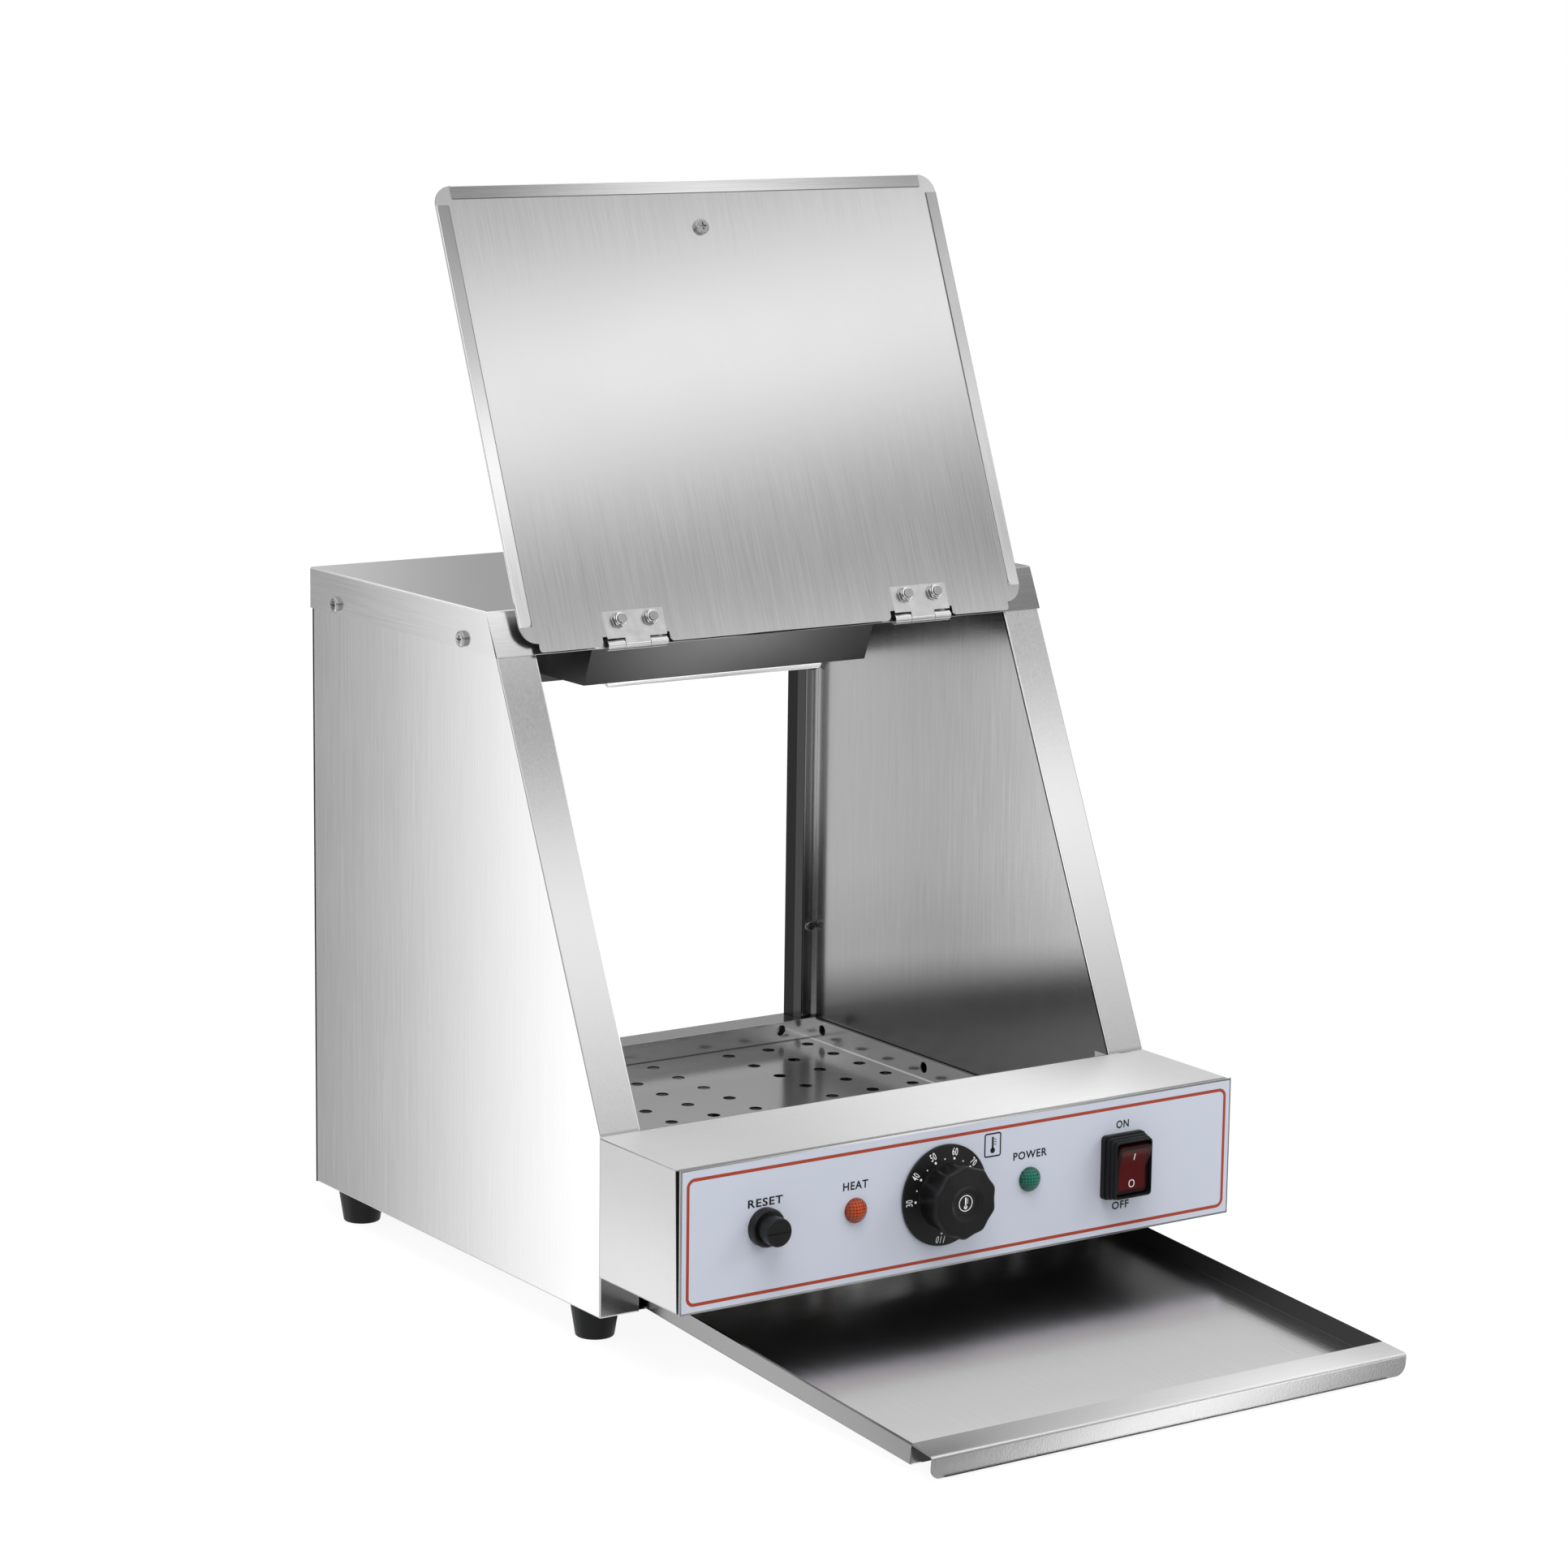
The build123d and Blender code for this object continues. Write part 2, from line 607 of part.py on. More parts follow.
def fascia():
    """The front plate of the control box, with a return that slips inside the case."""
    half = box_half - PANEL_CLEARANCE
    low = box_bottom_z - FASCIA_OVERHANG
    high = box_top_z + FASCIA_OVERHANG
    plate = block(-half, half, fascia_front_y, fascia_back_y, low, high)
    outer = box_half - SHEET
    back = fascia_back_y + FASCIA_RETURN
    edge = block(-outer, outer, fascia_back_y, back, box_bottom_z + SHEET, box_top_z - SHEET)
    inner = outer - SHEET
    edge -= block(-inner, inner, fascia_back_y, back, box_bottom_z + 2 * SHEET, box_top_z - 2 * SHEET)
    return drilled(plate + edge, [fascia_screw_place()], SMALL_SCREW_DIAMETER) - control_holes()


def fascia_overlay():
    """The printed film on the fascia."""
    half = box_half - PANEL_CLEARANCE - OVERLAY_MARGIN
    low = box_bottom_z - FASCIA_OVERHANG + OVERLAY_MARGIN
    high = box_top_z + FASCIA_OVERHANG - OVERLAY_MARGIN
    return block(-half, half, overlay_front_y, fascia_front_y, low, high) - control_holes()


def thermostat_body():
    body = Pos(0, 0, -panel_depth) * Box(THERMOSTAT_SIZE, THERMOSTAT_SIZE, THERMOSTAT_DEPTH, align=HANGING)
    body = chamfer(body.edges().group_by(Axis.Z)[0], SHEET)
    bore = Cylinder(SHAFT_DIAMETER / 2 + RUNNING_GAP, SHAFT_IN_BODY + RUNNING_GAP, align=HANGING)
    return on_fascia(knob_x, control_z) * (body - Pos(0, 0, -panel_depth) * bore)


def thermostat_shaft():
    inner = -panel_depth - SHAFT_IN_BODY
    length = KNOB_STANDOFF + SHAFT_IN_KNOB - inner
    shaft = Cylinder(SHAFT_DIAMETER / 2, length, align=SITTING)
    return on_fascia(knob_x, control_z) * Pos(0, 0, inner) * shaft


def thermostat_knob():
    """A scalloped grip on a dial skirt, dished in front."""
    skirt = KNOB_SKIRT_DIAMETER / 2
    grip = KNOB_GRIP_DIAMETER / 2
    neck = KNOB_GRIP_BASE_DIAMETER / 2
    rim = KNOB_SKIRT_THICKNESS / 2
    dish = KNOB_HEIGHT - KNOB_DISH_DEPTH
    outline = [(0, 0), (skirt, 0), (skirt, rim)]
    outline += [(neck + rim, KNOB_SKIRT_THICKNESS), (neck, KNOB_SKIRT_THICKNESS)]
    outline += [(grip, KNOB_HEIGHT - KNOB_CROWN_BEVEL), (grip - KNOB_SCALLOP_DEPTH, KNOB_HEIGHT)]
    outline += [(KNOB_DISH_DIAMETER / 2, KNOB_HEIGHT), (KNOB_DISH_FLOOR / 2, dish), (0, dish)]
    knob = turned(outline)
    reach = grip + KNOB_SCALLOP_RADIUS - KNOB_SCALLOP_DEPTH
    scallop = Cylinder(KNOB_SCALLOP_RADIUS, KNOB_HEIGHT, align=SITTING)
    turns = [Rot(Z=360 / KNOB_SCALLOPS * step) for step in range(KNOB_SCALLOPS)]
    knob -= [turn * Pos(reach, 0, KNOB_SKIRT_THICKNESS) * scallop for turn in turns]
    knob -= Cylinder(SHAFT_DIAMETER / 2 + RUNNING_GAP, SHAFT_IN_KNOB, align=SITTING)
    return on_fascia(knob_x, control_z) * Pos(0, 0, KNOB_STANDOFF) * knob


def thermostat_bulb():
    """The sensing bulb under the heater brackets and the capillary that leads to the thermostat."""
    bulb = rod(BULB_DIAMETER, (knob_x, bulb_front, bulb_z), (knob_x, bulb_rear, bulb_z))
    body_back = overlay_front_y + panel_depth + THERMOSTAT_DEPTH
    turn_y = body_back / 2
    corners = [(knob_x, bulb_front, bulb_z), (knob_x, turn_y, bulb_z)]
    corners += [(knob_x, turn_y, control_z), (knob_x, body_back, control_z)]
    path = FilletPolyline(*corners, radius=CAPILLARY_BEND)
    section = Plane(origin=corners[0], z_dir=(0, -1, 0)) * Circle(CAPILLARY_DIAMETER / 2)
    return bulb + sweep(section, path=path)


def reset_collar():
    ring = Cylinder(RESET_COLLAR_DIAMETER / 2, RESET_COLLAR_THICKNESS, align=SITTING)
    ring = chamfer(ring.edges().group_by(Axis.Z)[-1], RESET_CAP_ROUND)
    ring -= Cylinder(RESET_CAP_DIAMETER / 2 + RUNNING_GAP, 3 * RESET_COLLAR_THICKNESS)
    return on_fascia(reset_x, control_z) * ring


def reset_button():
    """The push cap and the stem that reaches into the cut-out."""
    back = RESET_TRAVEL + PANEL_CLEARANCE
    cap = Pos(0, 0, back) * Cylinder(RESET_CAP_DIAMETER / 2, RESET_CAP_PROJECTION - back, align=SITTING)
    cap = fillet(cap.edges().group_by(Axis.Z)[-1], RESET_CAP_ROUND)
    slot = Box(RESET_CAP_DIAMETER, RECESS_WIDTH, RESET_CAP_ROUND)
    cap -= Pos(0, 0, RESET_CAP_PROJECTION) * slot
    reach = back + panel_depth + RESET_STEM_REACH
    stem = Pos(0, 0, back) * Cylinder(RESET_STEM_DIAMETER / 2, reach, align=HANGING)
    return on_fascia(reset_x, control_z) * (cap + stem)


def cutout_body():
    """The over-temperature cut-out behind the reset button."""
    body = Pos(0, 0, -panel_depth) * Box(CUTOUT_SIZE, CUTOUT_SIZE, CUTOUT_DEPTH, align=HANGING)
    depth = RESET_STEM_REACH + RESET_TRAVEL + PANEL_CLEARANCE
    bore = Cylinder(RESET_STEM_DIAMETER / 2 + RUNNING_GAP, depth, align=HANGING)
    return on_fascia(reset_x, control_z) * (body - Pos(0, 0, -panel_depth) * bore)


def indicator_lens(x):
    """A domed lens seated on the overlay."""
    return on_fascia(x, control_z) * domed(LENS_DIAMETER, LENS_RIM, LENS_HEIGHT)


def indicator_body(x):
    """The barrel of an indicator lamp, with the clip that holds it behind the fascia."""
    barrel = Cylinder(LAMP_BODY_DIAMETER / 2, LAMP_BODY_LENGTH, align=HANGING)
    clip = Pos(0, 0, -panel_depth) * Cylinder(LAMP_CLIP_DIAMETER / 2, LAMP_CLIP_THICKNESS, align=HANGING)
    return on_fascia(x, control_z) * (barrel + clip)


def paddle_reach():
    """How far the paddle's corner swings from its axle."""
    return (PADDLE_HEIGHT ** 2 / 4 + PADDLE_END_RISE ** 2) ** 0.5


def rocker_pocket_width():
    return PADDLE_WIDTH + PADDLE_CLEARANCE


def rocker_pocket_height():
    return 2 * paddle_reach() + PADDLE_CLEARANCE


def rocker_body_width():
    return rocker_pocket_width() + 2 * ROCKER_WALL


def rocker_body_height():
    return rocker_pocket_height() + 2 * ROCKER_WALL


def rocker_bezel():
    """The stepped rubber frame of the switch and the body that it clips through the fascia."""
    flange = RectangleRounded(ROCKER_FRAME_WIDTH, ROCKER_FRAME_HEIGHT, ROCKER_FRAME_ROUND)
    width = rocker_body_width()
    height = rocker_body_height()
    rim = RectangleRounded(width + ROCKER_FRAME_STEP, height + ROCKER_FRAME_STEP, ROCKER_FRAME_ROUND)
    bezel = extrude(flange, ROCKER_FRAME_BASE) + extrude(rim, ROCKER_FRAME_TOP)
    bezel += Box(width, height, ROCKER_BODY_DEPTH, align=HANGING)
    dip = PADDLE_BACK + PADDLE_HEIGHT / 2 * sin(radians(PADDLE_TILT)) + PADDLE_CLEARANCE
    pocket = Box(rocker_pocket_width(), rocker_pocket_height(), ROCKER_BODY_DEPTH, align=SITTING)
    bezel -= Pos(0, 0, PADDLE_AXIS_STANDOFF - dip) * pocket
    axle_half = PADDLE_WIDTH / 2 + PADDLE_AXLE_REACH + PADDLE_CLEARANCE / 2
    axle_hole = rod(PADDLE_AXLE_DIAMETER + 2 * RUNNING_GAP, (-axle_half, 0, 0), (axle_half, 0, 0))
    return on_fascia(rocker_x, rocker_z) * (bezel - Pos(0, 0, PADDLE_AXIS_STANDOFF) * axle_hole)


def rocker_paddle():
    """The see-saw of the switch, at rest with its lower end pressed in."""
    half = PADDLE_HEIGHT / 2
    outline = [(-half, -PADDLE_BACK), (half, -PADDLE_BACK), (half, PADDLE_END_RISE)]
    outline += [(0, PADDLE_MIDDLE_RISE), (-half, PADDLE_END_RISE)]
    paddle = stretch_x(polygon(outline), -PADDLE_WIDTH / 2, PADDLE_WIDTH / 2)
    axle_half = PADDLE_WIDTH / 2 + PADDLE_AXLE_REACH
    paddle += rod(PADDLE_AXLE_DIAMETER, (-axle_half, 0, 0), (axle_half, 0, 0))
    return on_fascia(rocker_x, rocker_z) * Pos(0, 0, PADDLE_AXIS_STANDOFF) * Rot(X=PADDLE_TILT) * paddle


def terminal_block():
    """The mains terminal block on the floor of the control box."""
    floor = box_bottom_z + SHEET
    strip = Box(TERMINAL_LENGTH, TERMINAL_DEPTH, TERMINAL_HEIGHT, align=SITTING)
    spacing = TERMINAL_LENGTH / TERMINAL_WAYS
    wire = TERMINAL_SCREW_DIAMETER
    for way in range(TERMINAL_WAYS):
        x = (way - (TERMINAL_WAYS - 1) / 2) * spacing
        strip -= Pos(x, 0, TERMINAL_HEIGHT) * Cylinder(TERMINAL_SCREW_DIAMETER / 2, TERMINAL_HEIGHT)
        strip -= Pos(x, 0, wire) * Box(wire, 2 * TERMINAL_DEPTH, wire)
    return Pos(TERMINAL_X, TERMINAL_Y, floor) * strip


# Lid and hinges, drawn in a plane through the pin: X along it, Y up the sheet, Z out of the visible face
def lid_outline():
    half = lid_half
    corner = LID_BOTTOM_INSET
    foot_half = half - corner
    shoulder = lid_foot + LID_BOTTOM_STEP
    crown = lid_end - LID_TOP_CORNER
    edges = [
        Line((-foot_half, lid_foot), (foot_half, lid_foot)),
        Line((foot_half, lid_foot), (foot_half, shoulder)),
        CenterArc((foot_half, shoulder + corner), corner, -90, 90),
        Line((half, shoulder + corner), (half, crown)),
        CenterArc((half - LID_TOP_CORNER, crown), LID_TOP_CORNER, 0, 90),
        Line((half - LID_TOP_CORNER, lid_end), (LID_TOP_CORNER - half, lid_end)),
        CenterArc((LID_TOP_CORNER - half, crown), LID_TOP_CORNER, 90, 90),
        Line((-half, crown), (-half, shoulder + corner)),
        CenterArc((-foot_half, shoulder + corner), corner, 180, 90),
        Line((-foot_half, shoulder), (-foot_half, lid_foot)),
    ]
    return make_face(Curve() + edges)


def lid_panel():
    """The lid sheet with its folded hems, notched for the hinges."""
    half = lid_half
    crown = lid_end - LID_TOP_CORNER
    sheet = extrude(Plane(origin=(0, 0, lid_back)) * lid_outline(), SHEET)
    hem_top = lid_face + SHEET
    for side in BOTH_SIDES:
        hem = block(half - LID_HEM, half, lid_foot + LID_HEM_START, crown, lid_back, hem_top)
        sheet += hem if side > 0 else mirror(hem, about=Plane.YZ)
    top_half = half - LID_TOP_CORNER
    sheet += block(-top_half, top_half, lid_end - LID_HEM, lid_end, lid_back, hem_top)
    for middle in hinge_places:
        reach = LID_NOTCH_WIDTH / 2
        notch_top = lid_foot + LID_NOTCH_HEIGHT
        sheet -= block(middle - reach, middle + reach, lid_foot - SHEET, notch_top, -hem_top, 2 * hem_top)
    bolts = [Location((x, v, lid_face)) for x, v in hinge_bolt_points()]
    sheet = drilled(sheet, bolts, BOLT_DIAMETER)
    sheet = drilled(sheet, [Location((0, lid_screw_v, lid_face))], BOLT_DIAMETER)
    return lid_plane.location * sheet


def leaf_spans():
    """Where the knuckles of a hinge begin and end along X: first outer, middle, second outer."""
    inner = HINGE_MIDDLE_KNUCKLE / 2
    outer = HINGE_LENGTH / 2
    return (-outer, -inner - KNUCKLE_GAP), (-inner, inner), (inner + KNUCKLE_GAP, outer)


def lid_leaf(middle):
    """The leaf bolted to the lid, with the middle knuckle."""
    spans = leaf_spans()
    start, end = spans[1]
    clear = barrel_radius + KNUCKLE_GAP
    plate = block(spans[0][0], spans[2][1], clear, LEAF_HEIGHT, lid_face, barrel_radius)
    plate += block(start, end, 0, LEAF_HEIGHT, lid_face, barrel_radius)
    leaf = plate + rod(BARREL_DIAMETER, (start, 0, 0), (end, 0, 0))
    leaf -= rod(PIN_DIAMETER + 2 * RUNNING_GAP, (start - OVERCUT, 0, 0), (end + OVERCUT, 0, 0))
    leaf = drilled(leaf, [Location((x, LEAF_BOLT_HEIGHT, lid_face)) for x in bolt_offsets], BOLT_DIAMETER)
    return lid_plane.location * Pos(middle, 0, 0) * leaf


def fixed_leaf(middle):
    """The leaf screwed to the front of the top cover, with the two outer knuckles."""
    spans = leaf_spans()
    clear = barrel_radius + KNUCKLE_GAP
    leaf = block(spans[0][0], spans[2][1], clear, LEAF_HEIGHT, fixed_leaf_back, fixed_leaf_face)
    for start, end in (spans[0], spans[2]):
        leaf += block(start, end, 0, clear, fixed_leaf_back, fixed_leaf_face)
        leaf += rod(BARREL_DIAMETER, (start, 0, 0), (end, 0, 0))
        leaf -= rod(PIN_DIAMETER + 2 * RUNNING_GAP, (start - OVERCUT, 0, 0), (end + OVERCUT, 0, 0))
    sinks = [Pos(x, LEAF_BOLT_HEIGHT, fixed_leaf_face) * countersink(HOLE_CLEARANCE) for x in bolt_offsets]
    return fixed_plane.location * Pos(middle, 0, 0) * (leaf - sinks)


def hinge_pin(middle):
    """The pin, with a low head at one end."""
    half = HINGE_LENGTH / 2
    pin = rod(PIN_DIAMETER, (-half, 0, 0), (half, 0, 0))
    pin += rod(BARREL_DIAMETER - 2 * SHEET, (half, 0, 0), (half + SHEET, 0, 0))
    return fixed_plane.location * Pos(middle, 0, 0) * pin


def fixed_screw_places():
    return [fixed_plane.location * Pos(x, v, fixed_leaf_face) for x, v in hinge_bolt_points()]


def countersink(gap):
    """The flush cone of a countersunk head and the shank below it, made larger by a gap."""
    small = SMALL_SCREW_DIAMETER / 2 + gap
    cone = Cone(small, small + LEAF_THICKNESS, LEAF_THICKNESS, align=HANGING)
    return cone + Cylinder(small, SCREW_LENGTH, align=HANGING)


def fixed_leaf_screws():
    return Compound([place * countersink(0) for place in fixed_screw_places()])


def fixed_leaf_nuts():
    inside = fixed_leaf_back - SHEET
    places = [fixed_plane.location * Pos(x, v, inside) * Rot(X=180) for x, v in hinge_bolt_points()]
    return Compound([hex_nut(place, NUT_FLATS, NUT_HEIGHT, SMALL_SCREW_DIAMETER) for place in places])


def lid_bolts():
    """The bolts of the lid leaves. Their heads rest on the fixed leaves and stop the lid."""
    length = barrel_radius - lid_back + NUT_HEIGHT + BOLT_TAIL
    places = [lid_plane.location * Pos(x, v, lid_back) * Rot(X=180) for x, v in hinge_bolt_points()]
    return Compound([pan_screw(p, length, BOLT_DIAMETER, BOLT_HEAD_DIAMETER, lid_bolt_head) for p in places])


def lid_nuts():
    places = [lid_plane.location * Pos(x, v, barrel_radius) for x, v in hinge_bolt_points()]
    return Compound([hex_nut(place, NUT_FLATS, NUT_HEIGHT, BOLT_DIAMETER) for place in places])


def lid_knob():
    """The pull knob on the outside of the lid, behind it when the lid is open."""
    neck = LID_KNOB_NECK_DIAMETER / 2
    waist = LID_KNOB_HEIGHT - LID_KNOB_CROWN
    underside = LID_KNOB_UNDERSIDE_DIAMETER / 2
    outline = [(0, 0), (neck + SHEET, 0), (neck, waist / 2), (underside, waist), (0, waist)]
    knob = turned(outline) + Pos(0, 0, waist) * domed(LID_KNOB_DIAMETER, LID_KNOB_RIM, LID_KNOB_CROWN)
    knob -= Cylinder(BOLT_DIAMETER / 2 + RUNNING_GAP, LID_KNOB_THREAD, align=SITTING)
    return lid_plane.location * Pos(0, lid_screw_v, lid_back) * Rot(X=180) * knob


def lid_knob_screw():
    place = lid_plane.location * Pos(0, lid_screw_v, lid_face)
    return pan_screw(place, SHEET + LID_KNOB_THREAD, BOLT_DIAMETER, BOLT_HEAD_DIAMETER, BOLT_HEAD_HEIGHT)


# Perforated plate and base heater
def perforated_plate():
    """The lift-out draining plate: a shallow pan with groups of holes."""
    depth = plate_rear - PLATE_FRONT
    middle = Pos(0, (plate_rear + PLATE_FRONT) / 2)
    floor = middle * Rectangle(2 * plate_half, depth)
    shifts = [(hole - (HOLES_PER_GROUP - 1) / 2) * HOLE_PITCH_X for hole in range(HOLES_PER_GROUP)]
    last_group = plate_half - HOLE_SIDE_MARGIN - shifts[-1]
    groups = [last_group * (2 * group / (HOLE_GROUPS - 1) - 1) for group in range(HOLE_GROUPS)]
    columns = [group + shift for group in groups for shift in shifts]
    last_row = plate_rear - HOLE_REAR_MARGIN
    row_count = 1 + int((last_row - PLATE_FRONT - HOLE_FRONT_MARGIN) / HOLE_PITCH_Y)
    rows = [last_row - row * HOLE_PITCH_Y for row in range(row_count)]
    floor -= [Pos(x, y) * Circle(HOLE_DIAMETER / 2) for x in columns for y in rows]
    plate = extrude(Pos(0, 0, plate_z - SHEET) * floor, SHEET)
    rim = block(-plate_half, plate_half, PLATE_FRONT, plate_rear, plate_z - SHEET, plate_z + PLATE_UPSTAND)
    inside = plate_half - SHEET
    rim -= block(-inside, inside, PLATE_FRONT + SHEET, plate_rear - SHEET, 0, top_z)
    return plate + (rim - upstand_holes())


def upstand_holes():
    z = plate_z + PLATE_UPSTAND - UPSTAND_HOLE_DROP
    last = plate_rear - HOLE_REAR_MARGIN
    spacing = (last - PLATE_FRONT - UPSTAND_FRONT_MARGIN) / (UPSTAND_SIDE_HOLES - 1)
    holes = []
    for step in range(UPSTAND_SIDE_HOLES):
        y = last - step * spacing
        holes.append(rod(UPSTAND_HOLE_DIAMETER, (-half_width, y, z), (half_width, y, z)))
    outer = plate_half - UPSTAND_HOLE_INSET
    for x in (-outer, 0, outer):
        start = (x, plate_rear - PLATE_UPSTAND, z)
        holes.append(rod(UPSTAND_HOLE_DIAMETER, start, (x, plate_rear + OVERCUT, z)))
    return holes


def plate_ledge():
    """The left angle on the liner that carries the perforated plate."""
    wall = -liner_face_x
    top = plate_z - SHEET
    front = WALL_TAB + LEDGE_END_GAP
    shelf = block(wall, wall + LEDGE_WIDTH, front, liner_rear_y, top - SHEET, top)
    return shelf + block(wall, wall + SHEET, front, liner_rear_y, top - SHEET, top + LEDGE_RISE)


def base_heater():
    """One tubular element that goes back and forth under the plate, its ends in the control box."""
    left, mid_left, mid_right, right = heater_offsets
    end = -HEATER_TERMINAL_REACH
    corners = [(left, end), (left, heater_rear), (mid_left, heater_rear), (mid_left, HEATER_FRONT)]
    corners += [(mid_right, HEATER_FRONT), (mid_right, heater_rear), (right, heater_rear), (right, end)]
    path = FilletPolyline(*[(x, y, heater_z) for x, y in corners], radius=HEATER_BEND)
    start = Plane(origin=(left, end, heater_z), z_dir=(0, 1, 0))
    tube = sweep(start * Circle(HEATER_DIAMETER / 2), path=path)
    for x in (left, right):
        tip = (x, end - HEATER_TERMINAL_LENGTH, heater_z)
        tube += rod(HEATER_TERMINAL_DIAMETER, tip, (x, end, heater_z))
    return tube


def heater_brackets():
    """The cross straps under the heater, with a tab up each liner."""
    straps = []
    for place in bracket_places:
        front = place - BRACKET_WIDTH / 2
        back = place + BRACKET_WIDTH / 2
        strap = block(-liner_face_x, liner_face_x, front, back, bracket_top_z - SHEET, bracket_top_z)
        tab_top = bracket_top_z + BRACKET_TAB
        for x in (-liner_face_x, liner_face_x - SHEET):
            strap += block(x, x + SHEET, front, back, bracket_top_z - SHEET, tab_top)
        straps.append(strap)
    return Compound(straps)


# Heat lamp
def lamp_housing():
    """The tapered trough under the top, with the lamp's opening in its floor."""
    top = top_z - SHEET
    spread = (top - lamp_bottom_z) * tan(radians(LAMP_HOUSING_LEAN))
    front = lamp_front_y
    rear = front + LAMP_HOUSING_MOUTH
    mouth = [(front, lamp_bottom_z), (rear, lamp_bottom_z)]
    section = polygon(mouth + [(rear + spread, top), (front - spread, top)])
    half = LAMP_HOUSING_LENGTH / 2
    trough = stretch_x(section, -half, half)
    hollow = stretch_x(offset(section, -SHEET, kind=Kind.INTERSECTION), SHEET - half, half - SHEET)
    trough -= hollow + Pos(0, 0, 2 * SHEET) * hollow
    return trough - lamp_opening(0)


def lamp_opening(seat):
    """The space of the lamp's opening, made wider all round by a seat."""
    x = BEZEL_LENGTH / 2 - BEZEL_RIM + seat
    y = BEZEL_WIDTH / 2 - BEZEL_RIM + seat
    return block(-x, x, lamp_centre_y - y, lamp_centre_y + y, lamp_bottom_z - BEZEL_DROP, lamp_floor_z)


def lamp_bezel():
    """The polished rim under the housing that holds the glass."""
    x = BEZEL_LENGTH / 2
    y = BEZEL_WIDTH / 2
    low = lamp_bottom_z - BEZEL_DROP
    rim = block(-x, x, lamp_centre_y - y, lamp_centre_y + y, low, lamp_bottom_z)
    rim = fillet(rim.edges().filter_by(Axis.Z), BEZEL_ROUND)
    rim = fillet(rim.edges().group_by(Axis.Z)[0], BEZEL_ROUND)
    return rim - lamp_opening(0) - glass_slab(GLASS_SEAT + FOLD_GAP)


def glass_slab(seat):
    """The part of the lamp's opening that the glass fills, with its seat."""
    level = block(-half_width, half_width, 0, BODY_DEPTH, lamp_bottom_z - GLASS_THICKNESS, lamp_bottom_z)
    return lamp_opening(seat) & level


def lamp_glass():
    return glass_slab(GLASS_SEAT)


def lamp_reflector():
    """A half-round trough over the lamp, with closed ends."""
    half = REFLECTOR_LENGTH / 2
    shell = lamp_bar(2 * (REFLECTOR_RADIUS + SHEET), half, lamp_floor_z)
    shell -= lamp_bar(2 * REFLECTOR_RADIUS, half - SHEET, lamp_floor_z)
    return shell & block(-half, half, 0, BODY_DEPTH, lamp_floor_z, top_z)


def lamp_bar(diameter, half, z):
    """A round bar along the lamp, as long on both sides of the middle."""
    return rod(diameter, (-half, lamp_centre_y, z), (half, lamp_centre_y, z))


def lamp_holder_face():
    """Where the lamp holders end towards the middle."""
    return REFLECTOR_LENGTH / 2 - SHEET - HOLDER_LENGTH


def lamp_holders():
    """The two ceramic holders inside the ends of the reflector."""
    inner = lamp_holder_face()
    half = HOLDER_SIZE / 2
    low = lamp_tube_z - half
    high = lamp_tube_z + half
    right = block(inner, inner + HOLDER_LENGTH, lamp_centre_y - half, lamp_centre_y + half, low, high)
    return Compound([mirror(right, about=Plane.YZ), right])


def lamp_tube():
    """The quartz lamp between its holders."""
    tube = lamp_bar(LAMP_TUBE_DIAMETER, LAMP_TUBE_LENGTH / 2, lamp_tube_z)
    return tube + lamp_bar(LAMP_PIN_DIAMETER, lamp_holder_face(), lamp_tube_z)


# Crumb tray, drawn in a plane that follows its runners: Y inwards along them and Z up
def crumb_tray():
    """The shallow tray with its front edge folded forward and down as a handle."""
    front = -TRAY_DRAWN
    rear = front + tray_length
    tray = block(-tray_half, tray_half, front, rear, 0, TRAY_WALL)
    tray -= block(SHEET - tray_half, tray_half - SHEET, front + SHEET, rear - SHEET, SHEET, 2 * TRAY_WALL)
    half = tray_half - TRAY_HANDLE_INSET
    plate = block(-half, half, -TRAY_HANDLE_DEPTH, SHEET, -SHEET, 0)
    lip = block(-half, half, -TRAY_HANDLE_DEPTH, SHEET - TRAY_HANDLE_DEPTH, -TRAY_LIP, 0)
    lip = fillet(lip.edges().filter_by(Axis.Y).group_by(Axis.Z)[0], TRAY_LIP_CORNER)
    handle = Pos(0, front, TRAY_WALL) * Rot(X=TRAY_HANDLE_DROOP) * (plate + lip)
    return tray_plane.location * (tray + handle)


def tray_runner():
    """The left channel that the tray slides in."""
    wall = -liner_face_x
    low = -RUNNER_UNDER_GAP - SHEET
    high = TRAY_WALL + RUNNER_OVER_GAP + SHEET
    channel = block(wall, wall + SHEET, RUNNER_FRONT, runner_rear, low, high)
    channel += block(wall, wall + RUNNER_LEDGE, RUNNER_FRONT, runner_rear, low, low + SHEET)
    channel += block(wall, wall + RUNNER_GUARD, RUNNER_FRONT, runner_rear, high - SHEET, high)
    return tray_plane.location * channel


# Feet and gland
def foot(place):
    """A tapered rubber foot with a recess for its screw."""
    rubber = Cone(FOOT_TOP_DIAMETER / 2, FOOT_BOTTOM_DIAMETER / 2, FOOT_HEIGHT, align=SITTING)
    rubber = fillet(rubber.edges().group_by(Axis.Z)[-1], FOOT_EDGE_ROUND)
    recess = Pos(0, 0, FOOT_HEIGHT) * Cylinder(FOOT_RECESS_DIAMETER / 2, FOOT_RECESS_DEPTH, align=HANGING)
    rubber -= recess
    return place * drilled(rubber, [Location((0, 0, 0))], BOLT_DIAMETER, FOOT_HEIGHT)


